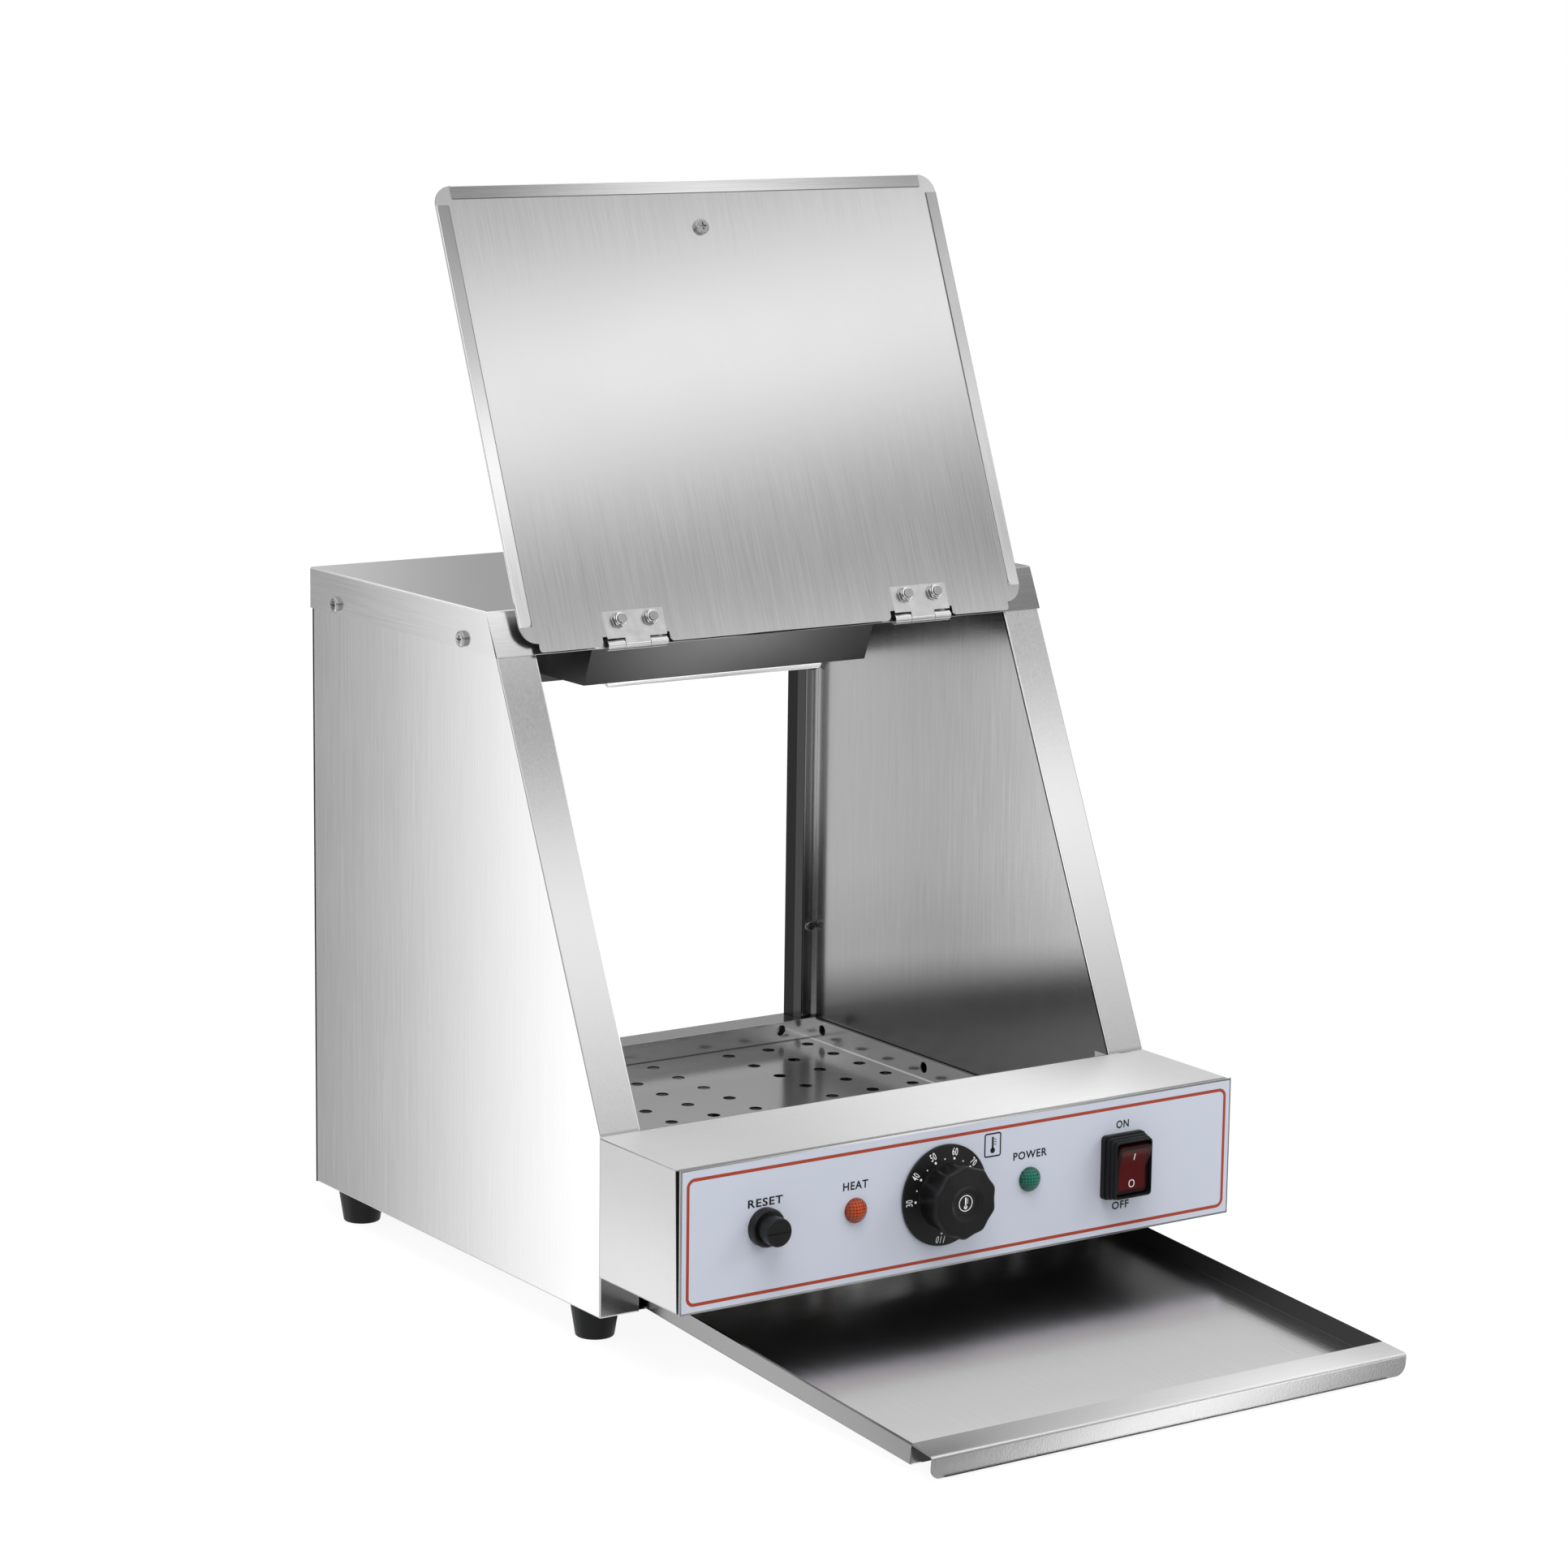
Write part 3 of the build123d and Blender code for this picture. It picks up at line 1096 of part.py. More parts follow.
def foot_screws():
    seat = FOOT_HEIGHT - FOOT_RECESS_DEPTH
    length = seat + SCREW_LENGTH
    screw = pan_screw(Pos(0, 0, seat), length, BOLT_DIAMETER, BOLT_HEAD_DIAMETER, BOLT_HEAD_HEIGHT)
    return Compound([place * screw for place in foot_places()])


def gland_place():
    return facing((GLAND_INSET - half_width, rear_face_y, base_z + GLAND_HEIGHT), (0, 1, 0))


def cable_gland():
    """The mains inlet gland in the lower back."""
    gland = extrude(RegularPolygon(GLAND_FLATS / 2, 6, major_radius=False), GLAND_HEX_LENGTH)
    dome = Cylinder(GLAND_DOME_DIAMETER / 2, GLAND_DOME_LENGTH, align=SITTING)
    gland += Pos(0, 0, GLAND_HEX_LENGTH) * fillet(dome.edges().group_by(Axis.Z)[-1], GLAND_DOME_ROUND)
    gland += Cylinder(GLAND_THREAD_DIAMETER / 2, GLAND_THREAD_LENGTH, align=HANGING)
    reach = GLAND_HEX_LENGTH + GLAND_DOME_LENGTH + GLAND_THREAD_LENGTH
    return gland_place() * (gland - Cylinder(GLAND_BORE / 2, 3 * reach))


def gland_nut():
    inside = gland_place() * Pos(0, 0, -SHEET) * Rot(X=180)
    return hex_nut(inside, GLAND_FLATS, GLAND_NUT_HEIGHT, GLAND_THREAD_DIAMETER)


def pair(name, left):
    """A left piece and its mirror image on the right."""
    return {name + "_left": left, name + "_right": mirror(left, about=Plane.YZ)}


def all_pieces():
    """Every piece by its name."""
    pieces = {}
    pieces.update(pair("side_panel", side_panel()))
    pieces.update(pair("liner", liner()))
    pieces.update(pair("rear_post", rear_post()))
    pieces["rear_frame"] = rear_frame()
    pieces["top_cover"] = top_cover()
    pieces["front_wall"] = front_wall()
    pieces["box_shell"] = box_shell()
    pieces["fascia"] = fascia()
    pieces["fascia_overlay"] = fascia_overlay()
    pieces["thermostat_body"] = thermostat_body()
    pieces["thermostat_shaft"] = thermostat_shaft()
    pieces["thermostat_knob"] = thermostat_knob()
    pieces["thermostat_bulb"] = thermostat_bulb()
    pieces["reset_collar"] = reset_collar()
    pieces["reset_button"] = reset_button()
    pieces["cutout_body"] = cutout_body()
    pieces["heat_lamp_lens"] = indicator_lens(heat_lamp_x)
    pieces["power_lamp_lens"] = indicator_lens(power_lamp_x)
    pieces["indicator_bodies"] = Compound([indicator_body(heat_lamp_x), indicator_body(power_lamp_x)])
    pieces["rocker_bezel"] = rocker_bezel()
    pieces["rocker_paddle"] = rocker_paddle()
    pieces["terminal_block"] = terminal_block()
    pieces["lid_panel"] = lid_panel()
    for side, middle in zip(("left", "right"), hinge_places):
        pieces["lid_leaf_" + side] = lid_leaf(middle)
        pieces["fixed_leaf_" + side] = fixed_leaf(middle)
    pieces["hinge_pins"] = Compound([hinge_pin(middle) for middle in hinge_places])
    pieces["lid_bolts"] = lid_bolts()
    pieces["lid_nuts"] = lid_nuts()
    pieces["fixed_leaf_screws"] = fixed_leaf_screws()
    pieces["fixed_leaf_nuts"] = fixed_leaf_nuts()
    pieces["lid_knob"] = lid_knob()
    pieces["lid_knob_screw"] = lid_knob_screw()
    pieces["perforated_plate"] = perforated_plate()
    pieces.update(pair("plate_ledge", plate_ledge()))
    pieces["base_heater"] = base_heater()
    pieces["heater_brackets"] = heater_brackets()
    pieces["lamp_housing"] = lamp_housing()
    pieces["lamp_bezel"] = lamp_bezel()
    pieces["lamp_glass"] = lamp_glass()
    pieces["lamp_reflector"] = lamp_reflector()
    pieces["lamp_holders"] = lamp_holders()
    pieces["lamp_tube"] = lamp_tube()
    pieces["crumb_tray"] = crumb_tray()
    pieces.update(pair("tray_runner", tray_runner()))
    pieces["feet"] = Compound([foot(place) for place in foot_places()])
    pieces["foot_screws"] = foot_screws()
    pieces["cover_screws"] = Compound([large_screw(place) for place in cover_screw_places()])
    pieces["fascia_screw"] = small_screw(fascia_screw_place())
    pieces["frame_screws"] = Compound([small_screw(place) for place in frame_screw_places()])
    pieces["cable_gland"] = cable_gland()
    pieces["gland_nut"] = gland_nut()
    return pieces


# The origin goes under the middle of the whole part, as it stands with its lid open and its tray out
pieces = all_pieces()
boxes = [piece.bounding_box() for piece in pieces.values()]
middle_y = (min(box.min.Y for box in boxes) + max(box.max.Y for box in boxes)) / 2
to_origin = Location((0, -middle_y, 0))

os.makedirs("parts", exist_ok=True)
for name, piece in pieces.items():
    export_step(piece.moved(to_origin), "parts/" + name + ".step")
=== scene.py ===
# %% [markdown]
# # A heated chip scuttle in stainless steel
# The imported CAD model comes in first and stays where it is: it is the frame that everything else sits on.

import json
from math import atan2, cos, pi, radians, sin

import bmesh
import bpy
from mathutils import Matrix, Vector


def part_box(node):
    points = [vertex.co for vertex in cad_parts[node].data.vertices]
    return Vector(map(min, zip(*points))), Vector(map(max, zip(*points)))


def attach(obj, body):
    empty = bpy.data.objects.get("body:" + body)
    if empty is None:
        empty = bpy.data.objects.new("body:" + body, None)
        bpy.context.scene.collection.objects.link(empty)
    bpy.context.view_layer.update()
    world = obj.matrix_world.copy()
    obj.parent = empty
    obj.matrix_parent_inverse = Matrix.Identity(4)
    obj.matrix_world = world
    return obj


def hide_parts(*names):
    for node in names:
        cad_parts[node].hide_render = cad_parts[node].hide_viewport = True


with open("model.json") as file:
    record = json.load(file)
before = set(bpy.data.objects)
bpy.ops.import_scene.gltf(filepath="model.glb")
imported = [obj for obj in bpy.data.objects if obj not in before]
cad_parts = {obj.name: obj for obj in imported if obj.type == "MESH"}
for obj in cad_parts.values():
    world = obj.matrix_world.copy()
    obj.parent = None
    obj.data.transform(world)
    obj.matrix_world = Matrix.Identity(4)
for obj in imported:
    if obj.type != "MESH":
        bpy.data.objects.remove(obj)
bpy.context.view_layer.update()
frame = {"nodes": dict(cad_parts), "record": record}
nodes = frame["nodes"]

# %% [markdown]
# ## Where things are
# A sheet-metal worker marks out from a few planes, and so does this file.
# The planes are read from the CAD nodes, because a piece that replaces a node has to stay where the node is.
# Only the angles of the folds and the thickness of the sheet are written down.

# %% Planes and angles of the cabinet
SHEET = 0.0008
SLOPE = radians(24.27)
SLOPE_FOOT = 0.1239
LID_LEAN = radians(22.0)
TRAY_PITCH = radians(3.6)
TRAY_RISE = 0.0014

cabinet_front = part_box("side_panel_left")[0].y
cabinet_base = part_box("side_panel_left")[0].z
film_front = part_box("fascia_overlay")[0].y
pin_low, pin_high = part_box("hinge_pins")
pin_centre = Vector((0, (pin_low.y + pin_high.y) / 2, (pin_low.z + pin_high.z) / 2))
slope_out = Vector((0, -cos(SLOPE), sin(SLOPE)))
lid_turn = pi / 2 - LID_LEAN

lid_place = Matrix.Translation(pin_centre) @ Matrix.Rotation(lid_turn, 4, "X")
tray_origin = Vector((0, cabinet_front, cabinet_base + TRAY_RISE))
tray_place = Matrix.Translation(tray_origin) @ Matrix.Rotation(TRAY_PITCH, 4, "X")


def film_place(x, z):
    """A place on the printed film: X to the right, Y up and Z out towards the user."""
    return Matrix.Translation((x, film_front, z)) @ Matrix.Rotation(pi / 2, 4, "X")


print("lid pin at", [round(value, 4) for value in pin_centre])

# %% [markdown]
# ## Hands for modelling
# Blender's operators act on whatever is selected, and the import leaves the CAD nodes selected.
# So every step first clears the selection and then takes one piece.
# Inside it, faces, edges and corners are picked by where they lie or which way they face.

# %% Choosing a piece and opening its mesh
def choose(piece):
    """Makes one piece the selected and active one."""
    bpy.ops.object.select_all(action="DESELECT")
    piece.select_set(True)
    bpy.context.view_layer.objects.active = piece


def open_mesh(piece):
    """Goes into edit mode with everything in the piece selected."""
    choose(piece)
    bpy.ops.object.mode_set(mode="EDIT")
    bpy.ops.mesh.select_mode(type="VERT")
    bpy.ops.mesh.select_all(action="SELECT")


def close_mesh():
    bpy.ops.object.mode_set(mode="OBJECT")


# %% Picking parts of the open mesh
TOUCH = 0.00002
# How squarely a face looks along an axis, as that part of its normal
SLIGHTLY = 0.2
PARTLY = 0.3
MOSTLY = 0.5
SQUARELY = 0.9


def pick(kind, test):
    """Selects the parts of the open mesh that a test accepts."""
    bpy.ops.mesh.select_all(action="DESELECT")
    bpy.ops.mesh.select_mode(type=kind)
    data = bpy.context.edit_object.data
    mesh = bmesh.from_edit_mesh(data)
    parts = {"VERT": mesh.verts, "EDGE": mesh.edges, "FACE": mesh.faces}[kind]
    for part in parts:
        if test(part):
            part.select_set(True)
    mesh.select_flush_mode()
    bmesh.update_edit_mesh(data)


def near(value, other):
    return abs(value - other) < TOUCH


def lies(part, axis, value):
    """True if every corner of an edge or face lies at one value along an axis."""
    return all(near(corner.co[axis], value) for corner in part.verts)


def middle(part):
    """The middle of an edge or face."""
    return sum((corner.co for corner in part.verts), Vector()) / len(part.verts)


def inner_edge(edge):
    """True if an edge has a face on both sides, so that a fold can run along it."""
    return len(edge.link_faces) == 2


def rising(edge):
    """True if one end of an edge is higher than the other."""
    return not near(edge.verts[0].co.z, edge.verts[1].co.z)


# %% Starting a piece
def fresh(name, add, **settings):
    """A new object from one of Blender's add operators, with nothing else selected."""
    bpy.ops.object.select_all(action="DESELECT")
    add(**settings)
    bpy.context.object.name = name
    return bpy.context.object


def apply_place(piece, place=None):
    """Puts a piece at its place and moves that place into its mesh."""
    if place is not None:
        piece.matrix_world = place
    choose(piece)
    bpy.ops.object.transform_apply(location=True, rotation=True, scale=True)


def box_piece(name, low, high):
    """A block between two opposite corners."""
    low = Vector(low)
    high = Vector(high)
    piece = fresh(name, bpy.ops.mesh.primitive_cube_add, size=1, location=(low + high) / 2, scale=high - low)
    apply_place(piece)
    return piece


def flat_piece(name, width, depth, spot=(0, 0, 0)):
    """A flat rectangle with its middle at a spot."""
    piece = fresh(name, bpy.ops.mesh.primitive_plane_add, size=1, location=spot)
    piece.scale = (width, depth, 1)
    apply_place(piece)
    return piece


# %% Thickening, rounding and joining
SMOOTH_ANGLE = radians(32)


def run_modifier(piece, kind, settings):
    """Adds a modifier, sets it and applies it."""
    choose(piece)
    modifier = piece.modifiers.new(kind.lower(), kind)
    for setting, value in settings.items():
        setattr(modifier, setting, value)
    bpy.ops.object.modifier_apply(modifier=modifier.name)


def thicken(piece):
    """Gives a folded skin its thickness, on the inside."""
    run_modifier(piece, "SOLIDIFY", {"thickness": SHEET, "offset": -1, "use_even_offset": True})


def soften(piece, width):
    """Rounds every sharp edge a little."""
    settings = {"width": width, "segments": 2, "limit_method": "ANGLE", "angle_limit": SMOOTH_ANGLE}
    run_modifier(piece, "BEVEL", settings)


def smooth(piece):
    """Smooth shading on curves, while the flats keep their own level."""
    choose(piece)
    bpy.ops.object.shade_smooth_by_angle(angle=SMOOTH_ANGLE)
    run_modifier(piece, "WEIGHTED_NORMAL", {"keep_sharp": True})


def join(name, pieces):
    """Joins pieces into the first one."""
    choose(pieces[0])
    for piece in pieces:
        piece.select_set(True)
    bpy.ops.object.join()
    bpy.context.object.name = name
    return bpy.context.object


def copy_of(piece, name):
    """A copy with a mesh of its own."""
    choose(piece)
    bpy.ops.object.duplicate(linked=False)
    bpy.context.object.name = name
    return bpy.context.object


# %% Materials on faces, and handing a piece over
def give_finishes(piece, *finishes):
    """Gives a piece its materials; all its faces start with the first."""
    piece.data.materials.clear()
    for finish in finishes:
        piece.data.materials.append(finish)


def paint_picked(piece, index):
    """Gives the picked faces another one of the piece's materials."""
    piece.active_material_index = index
    bpy.ops.object.material_slot_assign()


def paint_faces(piece, index, test):
    """Gives the faces of the open mesh that a test accepts another one of the piece's materials."""
    pick("FACE", test)
    paint_picked(piece, index)


def settle(piece, body, slot, *replaced):
    """Hangs a piece on the empty of the body it rides on and hides the nodes it stands for."""
    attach(piece, body)
    if replaced:
        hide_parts(*replaced)
    print(f"{piece.name}: {len(piece.data.polygons)} faces on {body}")


def hand_over(piece, body, slot, finish, *replaced):
    """Settles a piece that has one material all over."""
    give_finishes(piece, finish)
    settle(piece, body, slot, *replaced)


# %% [markdown]
# ## Shader maths in Python
# A node tree is easier to read as sums.
# A wire stands for one socket, and adding or multiplying wires adds Math nodes.
# Any other node comes from one method, which sets the node's own settings first and then its sockets.

# %% Wires
def maths(operation, swapped=False):
    """A method of a wire that adds one Math node."""
    def method(wire, other=0.0):
        first, second = (other, wire) if swapped else (wire, other)
        return wire.recipe.add("ShaderNodeMath", {"operation": operation}, {0: first, 1: second})

    return method


class Wire:
    """A value in a shader that can be calculated with."""

    __add__ = maths("ADD")
    __radd__ = maths("ADD", swapped=True)
    __sub__ = maths("SUBTRACT")
    __rsub__ = maths("SUBTRACT", swapped=True)
    __mul__ = maths("MULTIPLY")
    __truediv__ = maths("DIVIDE")
    __lt__ = maths("LESS_THAN")
    __gt__ = maths("GREATER_THAN")
    __abs__ = maths("ABSOLUTE")
    larger = maths("MAXIMUM")
    smaller = maths("MINIMUM")
    power = maths("POWER")
    sine = maths("SINE")

    def __init__(self, recipe, socket):
        self.recipe = recipe
        self.socket = socket

    def other_output(self, name):
        return Wire(self.recipe, self.socket.node.outputs[name])


# %% Colours and values
def grey(level):
    return (level, level, level, 1)


def paint(red, green, blue):
    """A colour as a screen shows it, from 0 to 255, turned into light by the sRGB curve."""
    shares = [value / 255 for value in (red, green, blue)]
    light = [share / 12.92 if share < 0.04045 else ((share + 0.055) / 1.055) ** 2.4 for share in shares]
    return (*light, 1)


def vary(average, share, spread):
    """A value that moves about an average, over a spread, with a share from 0 to 1."""
    return average + (share - 0.5) * spread


# %% Recipes
class Recipe:
    """One material or world and the nodes in it."""

    def __init__(self, tree):
        self.tree = tree
        self.tree.nodes.clear()

    def add(self, kind, settings, sockets, output=0):
        node = self.tree.nodes.new(kind)
        for setting, value in settings.items():
            setattr(node, setting, value)
        for name, value in sockets.items():
            if isinstance(value, Wire):
                self.tree.links.new(value.socket, node.inputs[name])
            else:
                node.inputs[name].default_value = value
        return Wire(self, node.outputs[output]) if node.outputs else None

    def blend(self, share, first, second):
        """A colour between two colours."""
        return self.add("ShaderNodeMix", {"data_type": "RGBA"}, {0: share, 6: first, 7: second}, output=2)

    def grey(self, level):
        """A grey of a level that varies."""
        return self.add("ShaderNodeCombineColor", {}, {"Red": level, "Green": level, "Blue": level})

    def ramp(self, share, stops):
        """Soft steps between grey levels, which are given as (place, level) pairs in order."""
        wire = self.add("ShaderNodeValToRGB", {}, {"Fac": share})
        ramp = wire.socket.node.color_ramp
        ramp.interpolation = "EASE"
        while len(ramp.elements) < len(stops):
            ramp.elements.new(1.0)
        for element, (place, level) in zip(ramp.elements, stops):
            element.position = place
            element.color = grey(level)
        return wire

    def axes_of(self, vector):
        """The three numbers of a place or direction."""
        x = self.add("ShaderNodeSeparateXYZ", {}, {"Vector": vector})
        return x, x.other_output("Y"), x.other_output("Z")

    def place(self):
        """Where a point lies on the object, in metres."""
        return self.add("ShaderNodeTexCoord", {}, {}, output="Object")

    def axes(self):
        """The three numbers of a point's place on the object."""
        return self.axes_of(self.place())

    def facing(self):
        """The three numbers of the direction that a point faces."""
        return self.axes_of(self.add("ShaderNodeNewGeometry", {}, {}, output="True Normal"))

    def noise(self, size, turn=(0, 0, 0), detail=2.0):
        """Soft noise whose grains have a size along each axis, turned with the piece."""
        sockets = {"Vector": self.place(), "Rotation": turn, "Scale": size}
        spot = self.add("ShaderNodeMapping", {"vector_type": "TEXTURE"}, sockets)
        return self.add("ShaderNodeTexNoise", {}, {"Vector": spot, "Scale": 1.0, "Detail": detail})

    def even_noise(self, size, detail=2.0):
        """Soft noise with round grains."""
        return self.noise((size, size, size), detail=detail)

    def bump(self, height, depth):
        """A normal that follows a height from 0 to 1 over a depth in metres."""
        return self.add("ShaderNodeBump", {}, {"Strength": 1.0, "Distance": depth, "Height": height})

    def surface(self, sockets):
        """A Principled shader at the end of a material."""
        shader = self.add("ShaderNodeBsdfPrincipled", {}, sockets)
        self.add("ShaderNodeOutputMaterial", {}, {"Surface": shader})


def new_finish(name):
    """A new material and its empty recipe."""
    material = bpy.data.materials.new(name)
    material.use_nodes = True
    return material, Recipe(material.node_tree)


# %% [markdown]
# ## Brushed stainless steel
# Nearly everything here is folded from brushed sheet.
# Brushing leaves long fine scratches, which blur reflections across the grain.
# An image of scratches would tile. Noise that is stretched along the grain does not, and it turns with a
# leaning sheet.
# The scratches move the roughness and a very shallow bump, and they tint the metal only slightly.
# Some folds catch more light at one end than at the other: a light sweep paints those levels into the base
# colour along an axis, as painted light and shade.

# %% Brushed sheet
GRAIN_WIDTH = 0.0008
GRAIN_LENGTH = 0.04
GRAIN_DEPTH = 0.00001
BAND_WIDTH = 5 * GRAIN_WIDTH
BAND_LENGTH = 3 * GRAIN_LENGTH
SCRATCH_SHARE = 0.8
HANDLING = 0.09
TONE_RANGE = 0.12
TONE_ROUGHNESS = 0.08
HANDLING_ROUGHNESS = 0.04
STEEL = 0.64
STEEL_ROUGH = 0.19


def brushed_sheet(name, grain, turn=0.0, steel=STEEL, rough=STEEL_ROUGH, depth=GRAIN_DEPTH, light_sweep=None,
                  shade=None, metal=1.0):
    """Brushed steel with its grain along X, Y or Z of the piece, before it was leaned back by a turn."""
    material, recipe = new_finish(name)
    fine = [GRAIN_WIDTH] * 3
    fine["XYZ".index(grain)] = GRAIN_LENGTH
    wide = [BAND_WIDTH] * 3
    wide["XYZ".index(grain)] = BAND_LENGTH
    scratches = recipe.noise(fine, (turn, 0, 0), detail=3.0)
    bands = recipe.noise(wide, (turn, 0, 0), detail=1.0)
    handling = recipe.even_noise(HANDLING)
    tone = scratches * SCRATCH_SHARE + bands * (1 - SCRATCH_SHARE)
    level = vary(1.0, tone, TONE_RANGE) * steel
    # Painted light and shade: a sweep and a shade scale the base colour by where a point lies.
    if light_sweep:
        axis, start, end, stops = light_sweep
        share = (recipe.axes()["XYZ".index(axis)] - start) / (end - start)
        level = level * recipe.ramp(share, stops)
    if shade:
        level = (level * shade(recipe, *recipe.axes())).smaller(1.0)
    recipe.surface({
        "Base Color": recipe.grey(level),
        "Metallic": metal,
        "Roughness": vary(vary(rough, tone, TONE_ROUGHNESS), handling, HANDLING_ROUGHNESS),
        "Normal": recipe.bump(scratches, depth),
    })
    return material


# %% Shade on the liners
LINER_REAR = 0.268
LINER_SEAM = 0.0017
LINER_SEAM_SHADE = 0.85
DIM_REAR = 0.09
DIM_RISE = 0.243
DIM_BELOW = 0.03
DIM_HEIGHT = 0.13
DIM_LEVELS = [(0.0, 0.3), (0.2, 0.29), (0.5, 1.0), (1.0, 1.16)]


def liner_shade(recipe, x, y, z):
    """Painted shade that darkens towards the foot, with a painted highlight on the cut edge along the slope
    and a line of painted shade behind it.
    """
    behind = (y - cabinet_front) * cos(SLOPE) - (z - SLOPE_FOOT) * sin(SLOPE)
    cut_highlight = recipe.facing()[1] < -MOSTLY
    seam_shade = (behind < LINER_SEAM) * (1.0 - cut_highlight)
    above_dark = z - ((LINER_REAR - y) * DIM_RISE + DIM_REAR)
    dim = recipe.ramp((above_dark + DIM_BELOW) / DIM_HEIGHT, DIM_LEVELS)
    return (dim + cut_highlight) * (1.0 - seam_shade * LINER_SEAM_SHADE)


# %% One finish for each kind of sheet
# Each sweep paints light and shade along one axis of a sheet.
HANDLE_LIGHT_SWEEP = ("X", -0.16, 0.16, [(0.0, 0.35), (0.78, 0.82), (1.0, 0.6)])
HEM_LIGHT_SWEEP = ("Z", 0.395, 0.615, [(0.0, 1.0), (0.2, 1.0), (0.72, 0.46), (1.0, 0.42)])
TOP_HEM_LIGHT_SWEEP = ("X", -0.165, 0.165, [(0.0, 0.4), (0.5, 1.0), (1.0, 0.42)])
CHEEK_LIGHT_SWEEP = ("Z", 0.043, 0.123, [(0.0, 1.08), (1.0, 0.84)])
BOX_TOP_LIGHT_SWEEP = ("X", -0.19, 0.19, [(0.0, 0.68), (0.12, 0.68), (0.65, 1.03), (1.0, 0.62)])
POST_LIGHT_SWEEP = ("Z", 0.125, 0.372, [(0.0, 0.59), (0.2, 0.59), (0.92, 0.83)])
FLANGE_LIGHT_SWEEP = ("X", -0.19, 0.19, [(0.0, 1.0), (1.0, 0.47)])
LAMP_LIGHT_SWEEP = ("X", -0.11, 0.11, [(0.0, 0.3), (0.45, 1.28), (1.0, 0.28)])

# The level of each sheet is painted light and shade too: the fold, box top and tray steel are lit copies of
# the steel, and the side flange, cheek, lamp and tray wall steel are shaded copies.
steel_upright = brushed_sheet("steel_upright_grain", "Z")
steel_across = brushed_sheet("steel_cross_grain", "X")
# A lit copy of the steel for rounded folds: a painted highlight.
steel_fold_highlight = brushed_sheet("steel_fold_highlight", "X", steel=0.95, rough=0.25)
# Dark steel that is painted shade, for gaps, cut ends, undersides and inner walls that lie in shade.
steel_painted_shade = brushed_sheet("steel_dark_painted_shade", "Z", steel=0.08, rough=0.5)
# Darker steel that is painted shade, for the line where a hem meets the lid.
steel_crease_shade = brushed_sheet("steel_painted_crease_shade", "Z", steel=0.26, rough=0.4)
steel_right_post = brushed_sheet("steel_right_post_grain", "Z", steel=1.0, light_sweep=POST_LIGHT_SWEEP)
steel_liner = brushed_sheet("steel_liner_grain", "Z", shade=liner_shade)
steel_flange = brushed_sheet("steel_front_flange_grain", "X", steel=0.8, light_sweep=FLANGE_LIGHT_SWEEP)
steel_side_flange = brushed_sheet("steel_side_flange_grain", "Y", steel=0.62)
steel_lamp = brushed_sheet("steel_lamp_grain", "X", steel=0.3, rough=0.24, light_sweep=LAMP_LIGHT_SWEEP)
steel_cheek = brushed_sheet("steel_box_side_grain", "Z", steel=0.51, rough=0.3, light_sweep=CHEEK_LIGHT_SWEEP)
steel_box_top = brushed_sheet("steel_box_top_grain", "X", steel=0.94, rough=0.5, metal=0.35,
                              light_sweep=BOX_TOP_LIGHT_SWEEP)
steel_lid = brushed_sheet("steel_lid_grain", "Y", lid_turn)
steel_hem = brushed_sheet("steel_hem_grain", "Y", lid_turn, steel=1.0, light_sweep=HEM_LIGHT_SWEEP)
steel_top_hem = brushed_sheet("steel_top_hem_grain", "X", lid_turn, steel=1.0, light_sweep=TOP_HEM_LIGHT_SWEEP)
steel_tray = brushed_sheet("steel_tray_grain", "Y", TRAY_PITCH, steel=0.8, rough=0.2, depth=4 * GRAIN_DEPTH)
# A shaded copy of the tray steel for its walls: painted shade.
steel_tray_wall_shade = brushed_sheet("steel_tray_wall_painted_shade", "Y", TRAY_PITCH, steel=0.2, rough=0.2)
steel_handle = brushed_sheet("steel_handle_grain", "X", TRAY_PITCH, steel=1.0, rough=0.2, light_sweep=HANDLE_LIGHT_SWEEP)
print("brushed sheets:", steel_upright.name, steel_lid.name, steel_across.name, steel_tray.name)

# %% [markdown]
# ## Sheet deep inside
# The plate in the well and the frame of the rear window stand in the dark of the cabinet, where sheet shows
# other sheet.
# Every fold there gets its own painted light and shade.
# These levels are told apart by where a point lies, so one material serves a whole folded piece.

# %% Sheet with worked-out light and shade
INNER_ROUGHNESS = 0.06


def inner_sheet(name, level_at, rough, metal):
    """Smooth sheet whose level is worked out from the place of a point."""
    material, recipe = new_finish(name)
    scratches = recipe.noise((GRAIN_LENGTH, GRAIN_WIDTH, GRAIN_WIDTH))
    level = level_at(recipe, *recipe.axes()) * vary(1.0, scratches, TONE_RANGE)
    recipe.surface({
        "Base Color": recipe.grey(level),
        "Metallic": metal,
        "Roughness": vary(rough, scratches, INNER_ROUGHNESS),
        "Normal": recipe.bump(scratches, GRAIN_DEPTH / 4),
    })
    return material


# %% Painted light and shade of the plate
PLATE_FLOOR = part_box("perforated_plate")[0].z + SHEET
PLATE_HALF = 0.1597
PLATE_REAR = 0.2685
REAR_GLOW_START = 0.2
FOLD_LINE = 0.0007
PLATE_TONE = 0.58
UPSTAND_SHADE = 0.1
SIDE_FOLD_HIGHLIGHT = 0.25
REAR_PAINTED_LIGHT = 0.3
REAR_FOLD_SHADE = 0.5
HOLE_SHADE = 0.98


